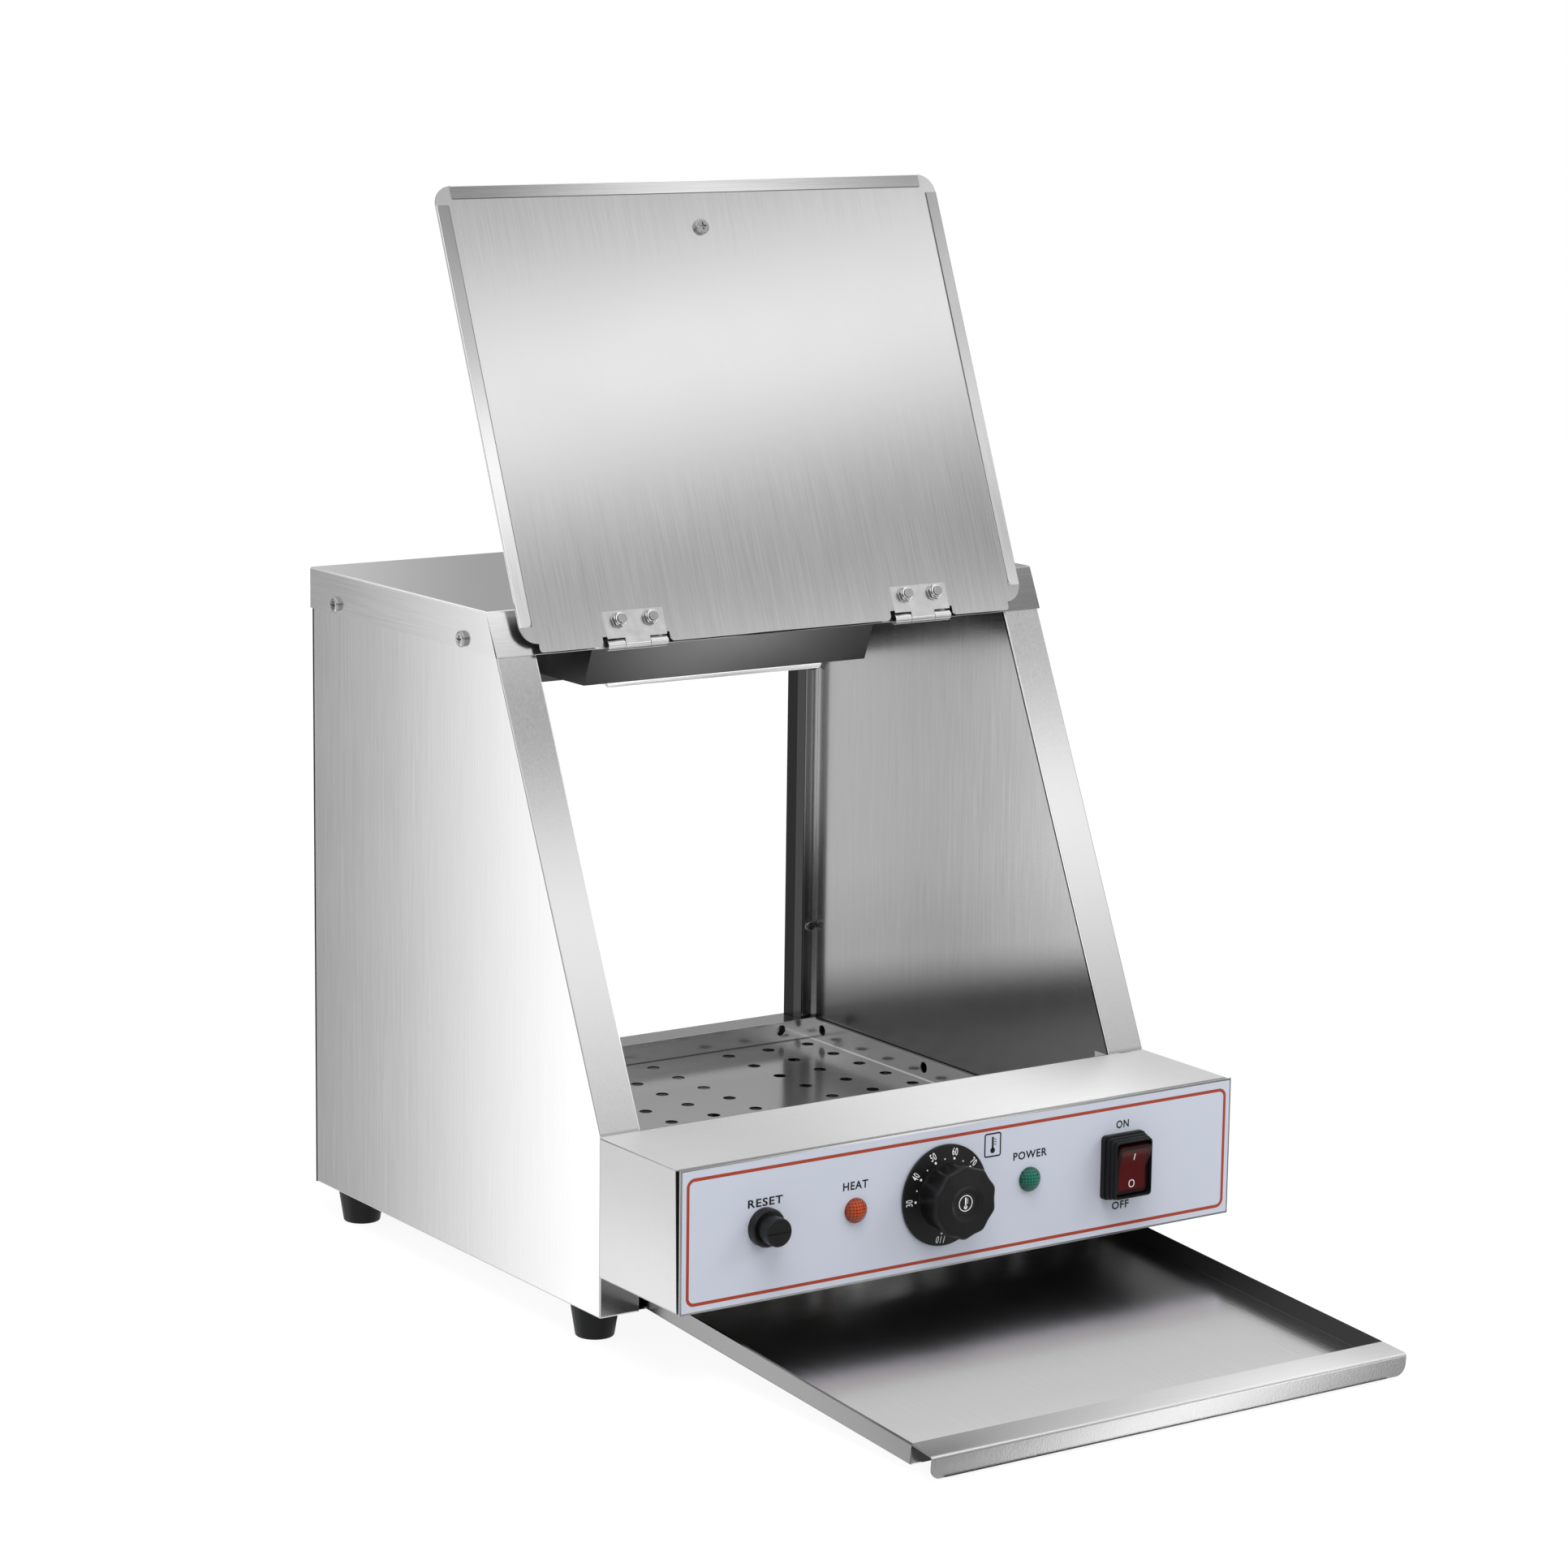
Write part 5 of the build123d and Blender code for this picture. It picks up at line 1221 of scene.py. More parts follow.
def grip_outline():
    """Up the flaring side, over the round crown and across the face into the dish."""
    points = []
    crown = GRIP_HEIGHT - FACE_RISE
    for step in range(1, GRIP_STEPS + 1):
        share = step / GRIP_STEPS
        height = SKIRT_TOP + (crown - CROWN_ROUND - SKIRT_TOP) * share
        points.append((NECK_RADIUS + (GRIP_RADIUS - NECK_RADIUS) * share ** GRIP_FLARE, height))
    for step in range(1, CROWN_STEPS + 1):
        turn = pi / 2 * step / CROWN_STEPS
        radius = GRIP_RADIUS - CROWN_ROUND * (1 - cos(turn))
        points.append((radius, crown - CROWN_ROUND * (1 - sin(turn))))
    points.append((DISH_RADIUS + 3 * EDGE_ROUND, GRIP_HEIGHT - EDGE_ROUND / 4))
    points.append((DISH_RADIUS + EDGE_ROUND, GRIP_HEIGHT))
    for step in range(DISH_STEPS + 1):
        share = step / DISH_STEPS
        radius = DISH_RADIUS + (DISH_FLOOR - DISH_RADIUS) * share
        points.append((radius, GRIP_HEIGHT - DISH_DEPTH * sin(pi / 2 * share)))
    return points + [(0, GRIP_HEIGHT - DISH_DEPTH)]


knob_outline = skirt_outline() + grip_outline()
print("outline of the knob:", len(knob_outline), "points")

# %% Spinning and fluting the knob
KNOB_X = -0.016
CONTROL_Z = 0.0845
KNOB_STANDOFF = 0.0006
KNOB_SIDES = 160
FLUTES = 10
FLUTE_DEPTH = 0.0012
FLUTE_SHARPNESS = 0.75
FLUTE_FOOT = 0.35
FLUTE_REACH = 1.6


def flute(piece):
    """Draws the corners of the grip in where a flute runs."""
    open_mesh(piece)
    data = bpy.context.edit_object.data
    mesh = bmesh.from_edit_mesh(data)
    for corner in mesh.verts:
        radius = (corner.co.x ** 2 + corner.co.y ** 2) ** 0.5
        if corner.co.z < SKIRT_TOP + SHEET or radius < DISH_RADIUS + SHEET:
            continue
        turn = atan2(corner.co.y, corner.co.x)
        wave = (0.5 + 0.5 * cos(FLUTES * turn)) ** FLUTE_SHARPNESS
        rise = (corner.co.z - SKIRT_TOP) / (GRIP_HEIGHT - SKIRT_TOP)
        reach = min(1.0, (radius - DISH_RADIUS) / (GRIP_RADIUS - DISH_RADIUS) * FLUTE_REACH)
        share = wave * (FLUTE_FOOT + (1 - FLUTE_FOOT) * rise) * reach
        factor = 1 - FLUTE_DEPTH / GRIP_RADIUS * share
        corner.co.x *= factor
        corner.co.y *= factor
    bmesh.update_edit_mesh(data)
    close_mesh()


knob_place = film_place(KNOB_X, CONTROL_Z) @ Matrix.Translation((0, 0, KNOB_STANDOFF))
knob = turned_piece("dial_knob", knob_outline, KNOB_SIDES)
flute(knob)
apply_place(knob, knob_place)
smooth(knob)
hand_over(knob, "thermostat_dial", "black_plastic", black_plastic, "thermostat_knob")

# %% [markdown]
# ## Lettering
# The words on the film are printed, and the scale of the dial is moulded in and filled with white.
# Text is set, turned into a mesh and scaled until its capitals have the right height.
# Then it is laid on its surface as a film of ink.

# %% Setting type
INK = 0.00004
LETTER_SPACE = 1.12
LETTER_WEIGHT = 0.024
LETTER_CURVES = 4


def lettering(name, words, width, height, place, weight=LETTER_WEIGHT):
    """A word of a width and height, centred on a place and lying on its plane."""
    label = fresh(name, bpy.ops.object.text_add)
    label.data.body = words
    label.data.align_x = "CENTER"
    label.data.align_y = "CENTER"
    label.data.extrude = INK
    label.data.resolution_u = LETTER_CURVES
    label.data.space_character = LETTER_SPACE
    label.data.offset = weight
    choose(label)
    bpy.ops.object.convert(target="MESH")
    label = bpy.context.object
    low = [min(corner.co[axis] for corner in label.data.vertices) for axis in (0, 1)]
    high = [max(corner.co[axis] for corner in label.data.vertices) for axis in (0, 1)]
    centre = Vector(((low[0] + high[0]) / 2, (low[1] + high[1]) / 2, 0))
    scale = (width / (high[0] - low[0]), height / (high[1] - low[1]), 1, 1)
    apply_place(label, place @ Matrix.Diagonal(scale) @ Matrix.Translation(-centre))
    return label


# %% Words on the film
LETTER_HEIGHT = 0.0047
# Each word has its place across and up, and its width
FILM_WORDS = {
    "RESET": (-0.1356, 0.0984, 0.0229),
    "HEAT": (-0.0759, 0.0987, 0.0168),
    "POWER": (0.0444, 0.0989, 0.0238),
    "ON": (0.1105, 0.1072, 0.0091),
    "OFF": (0.1104, 0.0594, 0.0122),
}
for words, (x, z, width) in FILM_WORDS.items():
    word = lettering("print_" + words.lower(), words, width, LETTER_HEIGHT, film_place(x, z))
    hand_over(word, "cabinet", "overlay_film", black_ink)

# %% [markdown]
# ## The scale of the dial
# The figures stand round the skirt with their feet towards the grip.
# There is a large dot under each of them and a small dot between.
# The skirt slopes a little, so each figure is tilted with it before it is turned to its place.

# %% Places on the skirt and dots of ink
DOT_SIDES = 14
skirt_slope = atan2(SKIRT_TOP - SKIRT_RIM, SKIRT_RADIUS - SKIRT_INNER)


def skirt_place(turn, radius):
    """A place on the sloping skirt, with Y pointing away from the grip."""
    height = SKIRT_TOP - (radius - SKIRT_INNER) * sin(skirt_slope)
    out = Matrix.Rotation(turn - pi / 2, 4, "Z") @ Matrix.Translation((0, radius, height))
    return knob_place @ out @ Matrix.Rotation(-skirt_slope, 4, "X")


def dot(name, radius, place):
    """A small round spot of ink."""
    circle = {"vertices": DOT_SIDES, "radius": radius, "fill_type": "NGON", "location": (0, 0, -INK)}
    spot = fresh(name, bpy.ops.mesh.primitive_circle_add, **circle)
    apply_place(spot)
    open_mesh(spot)
    bpy.ops.mesh.extrude_region_move(TRANSFORM_OT_translate={"value": (0, 0, 2 * INK)})
    bpy.ops.mesh.select_all(action="SELECT")
    bpy.ops.mesh.normals_make_consistent(inside=False)
    close_mesh()
    apply_place(spot, place)
    return spot


# %% Figures and dots round the skirt
FIRST_FIGURE = radians(182)
FIGURE_STEP = radians(35)
FIGURES = range(30, 111, 10)
FIGURE_HEIGHT = 0.0042
FIGURE_WIDTH = 0.0019
FIGURE_WEIGHT = 0.004
FIGURE_RADIUS = 0.0252
DOT_RADIUS = 0.0214
LARGE_DOT = 0.00075
SMALL_DOT = 0.00045


def dial_scale():
    marks = []
    for step, figure in enumerate(FIGURES):
        turn = FIRST_FIGURE - step * FIGURE_STEP
        place = skirt_place(turn, FIGURE_RADIUS)
        width = FIGURE_WIDTH * len(str(figure))
        marks.append(lettering("figure", str(figure), width, FIGURE_HEIGHT, place, FIGURE_WEIGHT))
        marks.append(dot("dot", LARGE_DOT, skirt_place(turn, DOT_RADIUS)))
        if figure != FIGURES[-1]:
            marks.append(dot("dot", SMALL_DOT, skirt_place(turn - FIGURE_STEP / 2, DOT_RADIUS)))
    return join("dial_scale", marks)


hand_over(dial_scale(), "thermostat_dial", "black_plastic", white_ink)

# %% [markdown]
# ## Ring, pictogram and frames
# A bar of ink is a flat block with its corners rounded.
# A frame of ink is a flat ring: a rounded rectangle is inset and its middle taken out.

# %% Flat frames and bars
INK_STEPS = 5


def flat_block(name, width, height, corner, place, steps=INK_STEPS):
    """A rounded rectangle of ink."""
    block = box_piece(name, (-width / 2, -height / 2, -INK), (width / 2, height / 2, INK))
    open_mesh(block)
    round_folds(rising, corner, steps)
    close_mesh()
    apply_place(block, place)
    return block


def flat_frame(name, width, height, corner, line, place, steps=INK_STEPS):
    """A rounded rectangle of ink with its middle left open."""
    outline = flat_piece(name, width, height)
    open_mesh(outline)
    bpy.ops.mesh.bevel(offset=corner, segments=steps, affect="VERTICES")
    bpy.ops.mesh.select_mode(type="FACE")
    bpy.ops.mesh.select_all(action="SELECT")
    bpy.ops.mesh.inset(thickness=line)
    bpy.ops.mesh.delete(type="FACE")
    close_mesh()
    run_modifier(outline, "SOLIDIFY", {"thickness": 2 * INK, "offset": 0})
    apply_place(outline, place)
    return outline


# %% Thermometers
# Measures are shares of the height, and a bar has a width, a height and a corner
BULB_RADIUS = 0.16
BULB_DROP = 0.3
STEM = (0.13, 0.75, 0.06)
STEM_RISE = 0.08
TICK = (0.14, 0.05, 0.02)
TICK_SHIFT = 0.17
TICK_RISES = (0.02, 0.16, 0.3)
TICK_CORNER_STEPS = 2


def thermometer(place, size):
    """A plain thermometer: a bulb, a stem and three short marks."""
    def spot(x, y):
        return place @ Matrix.Translation((x * size, y * size, 0))

    def bar(name, shares, x, y, steps=INK_STEPS):
        return flat_block(name, *[share * size for share in shares], spot(x, y), steps)

    marks = [dot("bulb", BULB_RADIUS * size, spot(0, -BULB_DROP)), bar("stem", STEM, 0, STEM_RISE)]
    for rise in TICK_RISES:
        marks.append(bar("mark", TICK, TICK_SHIFT, rise, TICK_CORNER_STEPS))
    return marks


# %% A framed thermometer on the film and one in a ring on the knob
PICTOGRAM = (0.0178, 0.1081)
# Width, height, corner and line of the frame
PICTOGRAM_FRAME = (0.0117, 0.0140, 0.0015, 0.0009)
PICTOGRAM_HEIGHT = 0.0105
pictogram_place = film_place(*PICTOGRAM)
pictogram_frame = flat_frame("frame", *PICTOGRAM_FRAME, pictogram_place)
pictogram = join("print_thermometer", [pictogram_frame] + thermometer(pictogram_place, PICTOGRAM_HEIGHT))
hand_over(pictogram, "cabinet", "overlay_film", black_ink)

RING = 0.0094
RING_LINE = 0.0005
RING_STEPS = 9
RING_MARK_HEIGHT = 0.0074
crown_place = knob_place @ Matrix.Translation((0, 0, GRIP_HEIGHT - DISH_DEPTH))
crown_ring = flat_frame("ring", RING, RING, RING / 2, RING_LINE, crown_place, RING_STEPS)
crown_mark = join("dial_centre_mark", [crown_ring] + thermometer(crown_place, RING_MARK_HEIGHT))
hand_over(crown_mark, "thermostat_dial", "black_plastic", white_ink)

# %% [markdown]
# ## Indicator lenses
# The lenses are small domes of coloured plastic.
# A fine grid moulded behind them gives them their dark and bright cells.
# The dome is spun, and the grid is worked out from the distance across the lens in its material, with painted
# shade that darkens it towards the rim.

# %% Lens material
GRID = 0.0017
GRID_DEPTH = 0.00025
GRID_SHARE = 0.25
LENS_RADIUS = 0.0071
LENS_MIDDLE = 1.15
LENS_RIM_SHADE = 0.75
HEAT_X = -0.076
POWER_X = 0.044


def lens_plastic(name, bright, deep, lamp_x):
    """Coloured clear plastic with a moulded grid and painted shade towards the rim, centred on one lamp."""
    material, recipe = new_finish(name)
    place = recipe.axes()
    across = place[0] - lamp_x
    up = place[2] - CONTROL_Z
    waves = (across * (2 * pi / GRID)).sine() + (up * (2 * pi / GRID)).sine()
    cells = waves * GRID_SHARE + 0.5
    # Painted shade: the colour darkens away from the middle of the lens.
    off_centre = (across * across + up * up) / LENS_RADIUS ** 2
    glow = (cells * (LENS_MIDDLE - off_centre * LENS_RIM_SHADE)).smaller(1.0)
    recipe.surface({
        "Base Color": recipe.blend(glow, deep, bright),
        "Roughness": vary(0.14, cells, 0.08),
        "Coat Weight": 0.3,
        "Specular IOR Level": 0.3,
        "Normal": recipe.bump(cells, GRID_DEPTH),
    })
    return material


orange = lens_plastic("orange_lens_grid", paint(208, 80, 10), paint(92, 22, 3), HEAT_X)
green = lens_plastic("green_lens_grid", paint(8, 132, 104), paint(0, 40, 35), POWER_X)
print("lenses:", orange.name, green.name)

# %% Spinning the lenses
LENS_RIM = 0.0016
LENS_RIM_ROUND = 0.0004
LENS_HEIGHT = 0.0052
LENS_INSET = 0.0003
LENS_STEPS = 8
LENS_SIDES = 48


def lens(name, x, finish, slot, node):
    rise = LENS_HEIGHT - LENS_RIM
    ball = (LENS_RADIUS ** 2 + rise ** 2) / (2 * rise)
    outline = [(0, 0), (LENS_RADIUS, 0), (LENS_RADIUS, LENS_RIM - LENS_RIM_ROUND)]
    for step in range(LENS_STEPS + 1):
        radius = (LENS_RADIUS - LENS_INSET) * (1 - step / LENS_STEPS)
        outline.append((radius, LENS_HEIGHT - ball + (ball ** 2 - radius ** 2) ** 0.5))
    dome = turned_piece(name, outline, LENS_SIDES)
    apply_place(dome, film_place(x, CONTROL_Z))
    smooth(dome)
    hand_over(dome, "cabinet", slot, finish, node)


lens("heat_lens", HEAT_X, orange, "orange_lens", "heat_lamp_lens")
lens("power_lens", POWER_X, green, "green_lens", "power_lamp_lens")

# %% [markdown]
# ## Rocker switch
# The switch sits in a stepped rubber boot that keeps water out.
# The boot is grown out of one block: drawn in and raised, step by step, and then sunk for the pocket.
# The paddle is a shallow V in clear red plastic with a darker edge; it rests with its lower end pressed in.

# %% The boot
ROCKER_X = 0.110
ROCKER_Z = 0.0835
BOOT_WIDTH = 0.0296
BOOT_HEIGHT = 0.0375
BOOT_FOOT = 0.0036
# How far each step is drawn in, and how far it is raised
BOOT_STEPS = ((0.0008, 0.0034), (0.0006, 0.0030), (0.0005, 0.0024))
BOOT_CORNER = 0.0025
BOOT_ROUND = 0.00035
POCKET_HALF = (0.0122, 0.0157)
POCKET_DEPTH = 0.0100
SWITCH_STEPS = 5
rocker_place = film_place(ROCKER_X, ROCKER_Z)


def raise_step(half, smaller, top, rise):
    """Draws the top face in from one half size to a smaller one and moves it up or down."""
    pick("FACE", lambda face: lies(face, 2, top) and len(face.verts) > 4)
    bpy.ops.mesh.inset(thickness=0)
    scale = (smaller.x / half.x, smaller.y / half.y, 1)
    bpy.ops.transform.resize(value=scale, center_override=(0, 0, top))
    bpy.ops.mesh.extrude_region_move(TRANSFORM_OT_translate={"value": (0, 0, rise)})


def boot():
    half = Vector((BOOT_WIDTH / 2, BOOT_HEIGHT / 2, 0))
    top = BOOT_FOOT
    block = box_piece("switch_boot", -half, half + Vector((0, 0, top)))
    open_mesh(block)
    round_folds(rising, BOOT_CORNER, SWITCH_STEPS)
    for inset, rise in BOOT_STEPS:
        smaller = half - Vector((inset, inset, 0))
        raise_step(half, smaller, top, rise)
        half = smaller
        top += rise
    raise_step(half, Vector((*POCKET_HALF, 0)), top, -POCKET_DEPTH)
    close_mesh()
    soften(block, BOOT_ROUND)
    apply_place(block, rocker_place)
    smooth(block)
    hand_over(block, "cabinet", "black_rubber", black_rubber, "rocker_bezel")


boot()

# %% The paddle
PADDLE_HALF = (0.0118, 0.0145)
PADDLE_END = 0.004
PADDLE_MIDDLE = 0.002
PADDLE_CORNER = 0.003
PADDLE_ROUND = 0.0004
PADDLE_BACK = 0.003
PADDLE_TILT = radians(8)
PADDLE_AXIS = 0.0082
PADDLE_BORDER = 0.0026
paddle_place = rocker_place @ Matrix.Translation((0, 0, PADDLE_AXIS)) @ Matrix.Rotation(PADDLE_TILT, 4, "X")
paddle_slope = atan2(PADDLE_END - PADDLE_MIDDLE, PADDLE_HALF[1])


def paddle_corner(edge):
    spot = middle(edge)
    return abs(spot.x) > PADDLE_HALF[0] / 2 and abs(spot.y) > PADDLE_HALF[1] / 2 and rising(edge)


def paddle():
    low = (-PADDLE_HALF[0], -PADDLE_HALF[1], -PADDLE_BACK)
    block = box_piece("switch_paddle", low, (*PADDLE_HALF, PADDLE_END))
    give_finishes(block, dark_red_plastic, red_plastic)
    open_mesh(block)
    cut_across(1, 0.0)
    pick("EDGE", lambda edge: lies(edge, 1, 0.0) and lies(edge, 2, PADDLE_END))
    bpy.ops.transform.translate(value=(0, 0, PADDLE_MIDDLE - PADDLE_END))
    round_folds(paddle_corner, PADDLE_CORNER, SWITCH_STEPS)
    pick("FACE", lambda face: face.normal.z > SQUARELY)
    bpy.ops.mesh.inset(thickness=PADDLE_BORDER)
    paint_picked(block, 1)
    close_mesh()
    soften(block, PADDLE_ROUND)
    apply_place(block, paddle_place)
    smooth(block)
    settle(block, "switch", "red_paddle", "rocker_paddle")


paddle()

# %% Marks on the paddle
# Width, height, corner and, for the open one, the line
ON_MARK = (0.0007, 0.0042, 0.0003)
ON_MARK_UP = 0.0078
OFF_MARK = (0.0042, 0.0046, 0.0020, 0.0005)
OFF_MARK_UP = -0.0086
OFF_MARK_STEPS = 7


def paddle_face(y):
    """A place on one half of the paddle's V."""
    side = 1 if y > 0 else -1
    height = PADDLE_MIDDLE + abs(y) * sin(paddle_slope) + INK
    return paddle_place @ Matrix.Translation((0, y, height)) @ Matrix.Rotation(side * paddle_slope, 4, "X")


on_mark = flat_block("on_mark", *ON_MARK, paddle_face(ON_MARK_UP))
off_mark = flat_frame("off_mark", *OFF_MARK, paddle_face(OFF_MARK_UP), OFF_MARK_STEPS)
marks = join("switch_marks", [on_mark, off_mark])
hand_over(marks, "switch", "red_paddle", white_ink)

# %% [markdown]
# ## Lock nuts of the hinges
# Four lock nuts hold the lid's leaves.
# Each is a hexagon with its corners softened and a round collar that grips the thread.
# One is made and copied to every bolt.

# %% Making one nut
NUT_FLATS = 0.008
NUT_TURN = radians(12)
NUT_HEIGHT = 0.004
NUT_HEXAGON = 0.0029
NUT_ROUND = 0.0005
NUT_HOLE = 0.0027
COLLAR_RADIUS = 0.0039
COLLAR_SHOULDER = 0.0037
COLLAR_TOP = 0.0033
COLLAR_SINK = 0.0002
COLLAR_ROUND = 0.0003
COLLAR_SIDES = 40
THREAD_DEPTH = 0.0010
THREAD_EDGE = 0.0004
THREAD_FALL = 0.0001


def collar_outline():
    """Up the bore, over the rounded top and down the outside into the hexagon."""
    foot = NUT_HEXAGON - COLLAR_SINK
    bore = [(NUT_HOLE, NUT_HEIGHT - THREAD_DEPTH), (NUT_HOLE, NUT_HEIGHT - THREAD_EDGE)]
    top = [(NUT_HOLE + COLLAR_ROUND, NUT_HEIGHT - THREAD_FALL), (COLLAR_TOP, NUT_HEIGHT)]
    outside = [(COLLAR_SHOULDER, NUT_HEIGHT - COLLAR_ROUND), (COLLAR_RADIUS, foot), (NUT_HOLE, foot)]
    return bore + top + outside + bore[:1]


def lock_nut():
    radius = NUT_FLATS / 2 / cos(pi / 6)
    place = {"location": (0, 0, NUT_HEXAGON / 2), "rotation": (0, 0, NUT_TURN)}
    add = bpy.ops.mesh.primitive_cylinder_add
    hexagon = fresh("hexagon", add, vertices=6, radius=radius, depth=NUT_HEXAGON, **place)
    apply_place(hexagon)
    soften(hexagon, NUT_ROUND)
    nut = join("lock_nut", [hexagon, turned_piece("collar", collar_outline(), COLLAR_SIDES)])
    give_finishes(nut, nut_steel, shaded_steel)
    open_mesh(nut)
    paint_faces(nut, 1, lambda face: abs(face.normal.z) < PARTLY)
    close_mesh()
    smooth(nut)
    return nut


pattern = lock_nut()
print("one nut:", len(pattern.data.polygons), "faces")

# %% Copying it to the bolts
LEAF_TOP = 0.003
BOLT_SHIFT = 0.0106
BOLT_UP = 0.0136


def nuts_on_leaves():
    nuts = []
    for side in (-1, 1):
        for shift in (-BOLT_SHIFT, BOLT_SHIFT):
            nut = copy_of(pattern, "lock_nut_copy")
            apply_place(nut, lid_place @ Matrix.Translation((side * HINGE_X + shift, BOLT_UP, LEAF_TOP)))
            nuts.append(nut)
    bpy.data.objects.remove(pattern)
    return join("lid_lock_nuts", nuts)


settle(nuts_on_leaves(), "lid", "bright_steel", "lid_nuts")

# %% [markdown]
# ## The printed film
# The film on the fascia is pale lilac-white with one red-brown line running round it.
# The line is not a piece. It is where the distance from a rounded rectangle lies within half a line's width,
# which is worked out in the material.

# %% Film with its border line
BORDER_HALF = 0.1857
BORDER_LOW = 0.0476
BORDER_HIGH = 0.1173
BORDER_CORNER = 0.0042
BORDER_LINE = 0.0019
FILM_CLOUD = 0.05
FILM_GRAIN = 0.0006
FILM_BUMP = 0.000006


def printed_film():
    material, recipe = new_finish("printed_film")
    place = recipe.axes()
    up = place[2] - (BORDER_LOW + BORDER_HIGH) / 2
    reach_x = (abs(place[0]) - (BORDER_HALF - BORDER_CORNER)).larger(0.0)
    reach_z = (abs(up) - ((BORDER_HIGH - BORDER_LOW) / 2 - BORDER_CORNER)).larger(0.0)
    distance = (reach_x * reach_x + reach_z * reach_z).power(0.5)
    line = abs(distance - BORDER_CORNER) < BORDER_LINE / 2
    cloud = recipe.even_noise(FILM_CLOUD)
    speckle = recipe.even_noise(FILM_GRAIN)
    pale = recipe.blend(cloud, paint(199, 205, 219), paint(205, 210, 223))
    recipe.surface({
        "Base Color": recipe.blend(line, pale, paint(164, 56, 26)),
        "Roughness": vary(0.47, speckle, 0.1),
        "Normal": recipe.bump(speckle, FILM_BUMP),
    })
    return material


film = printed_film()
print("film line", BORDER_LINE, "m wide")

# %% [markdown]
# ## Finishes for the CAD pieces that stay
# Many pieces are right as they come from the CAD model.
# They only need the finish of the real thing in place of a plain colour.

# %% Dressing the nodes
FINISHES = {
    "brushed_sheet": steel_upright,
    "bright_steel": fastener_steel,
    "black_plastic": black_plastic,
    "grey_plastic": grey_plastic,
    "black_rubber": black_rubber,
    "overlay_film": film,
    "copper_tube": copper,
    "orange_lens": orange,
    "green_lens": green,
    "red_paddle": red_plastic,
    "heater_sheath": heater_sheath,
    "lamp_glass": glass,
    "reflector": reflector_steel,
    "ceramic": ceramic,
}
OWN_FINISH = {
    "lid_leaf_left": hinge_steel,
    "lid_leaf_right": hinge_steel,
    "fixed_leaf_left": hinge_steel,
    "fixed_leaf_right": hinge_steel,
    "cover_screws": screw_steel,
    "lid_knob_screw": screw_steel,
    "frame_screws": shaded_steel,
    "lamp_bezel": rim_steel,
    "rear_frame": steel_rear,
    "lamp_housing": steel_lamp,
    "liner_left": steel_liner,
    "liner_right": steel_liner,
    "perforated_plate": steel_plate,
}
for part in frame["record"]["subparts"]:
    node = part["node"]
    finish = OWN_FINISH.get(node, FINISHES[part["material_slot"]])
    nodes[node].material_slots[0].material = finish

# %% [markdown]
# ## Studio
# The object stands on a pale floor in a white room with soft light from above and from the right.
# Polished steel shows whatever stands round it.
# So a photographer sets large cards beside it, which draw soft gradients on the flat sheets.
# The cards here are seen by reflections only.

# %% Floor and room
FLOOR_SIZE = 6.0
FLOOR_GRAIN = 0.3
FLOOR_DARK = 0.9
FLOOR_LIGHT = 0.93
FLOOR_WHITE = 0.86
FLOOR_GLOW = 1.06
ROOM_LIGHT = 0.72
MIRRORED_ROOM = [(0.0, 0.95), (0.42, 0.9), (0.55, 0.4), (0.6, 0.4), (0.76, 1.1), (1.0, 1.15)]


def studio_floor():
    floor = fresh("studio_floor", bpy.ops.mesh.primitive_plane_add, size=FLOOR_SIZE)
    material, recipe = new_finish("floor_white")
    colour = recipe.blend(recipe.even_noise(FLOOR_GRAIN), grey(FLOOR_DARK), grey(FLOOR_LIGHT))
    matt = recipe.add("ShaderNodeBsdfDiffuse", {}, {"Color": colour})
    glow = recipe.add("ShaderNodeEmission", {}, {"Color": grey(1), "Strength": FLOOR_GLOW})
    both = recipe.add("ShaderNodeMixShader", {}, {0: FLOOR_WHITE, 1: matt, 2: glow})
    recipe.add("ShaderNodeOutputMaterial", {}, {"Surface": both})
    give_finishes(floor, material)
    floor.visible_glossy = False
    floor.visible_diffuse = False


def white_room():
    """White to the camera and dimmer as a light; reflections see levels that change with height."""
    world = bpy.data.worlds.new("white_room")
    bpy.context.scene.world = world
    world.use_nodes = True
    recipe = Recipe(world.node_tree)
    camera_ray = recipe.add("ShaderNodeLightPath", {}, {}, output="Is Camera Ray")
    glossy_ray = camera_ray.other_output("Is Glossy Ray")
    seen = camera_ray.larger(glossy_ray).larger(camera_ray.other_output("Is Transmission Ray"))
    direction = recipe.add("ShaderNodeTexCoord", {}, {}, output="Generated")
    mirrored = recipe.ramp(recipe.axes_of(direction)[2] * 0.5 + 0.5, MIRRORED_ROOM)
    in_steel = glossy_ray * (1.0 - camera_ray)
    plain = seen * (1.0 - ROOM_LIGHT) + ROOM_LIGHT
    strength = plain * (1.0 - in_steel) + mirrored * in_steel
    room = recipe.add("ShaderNodeBackground", {}, {"Color": grey(1), "Strength": strength})
    recipe.add("ShaderNodeOutputWorld", {}, {"Surface": room})


studio_floor()
white_room()
print("floor", FLOOR_SIZE, "m wide")

# %% Lamps
LAMP_TARGET = Vector((0, 0, 0.2))
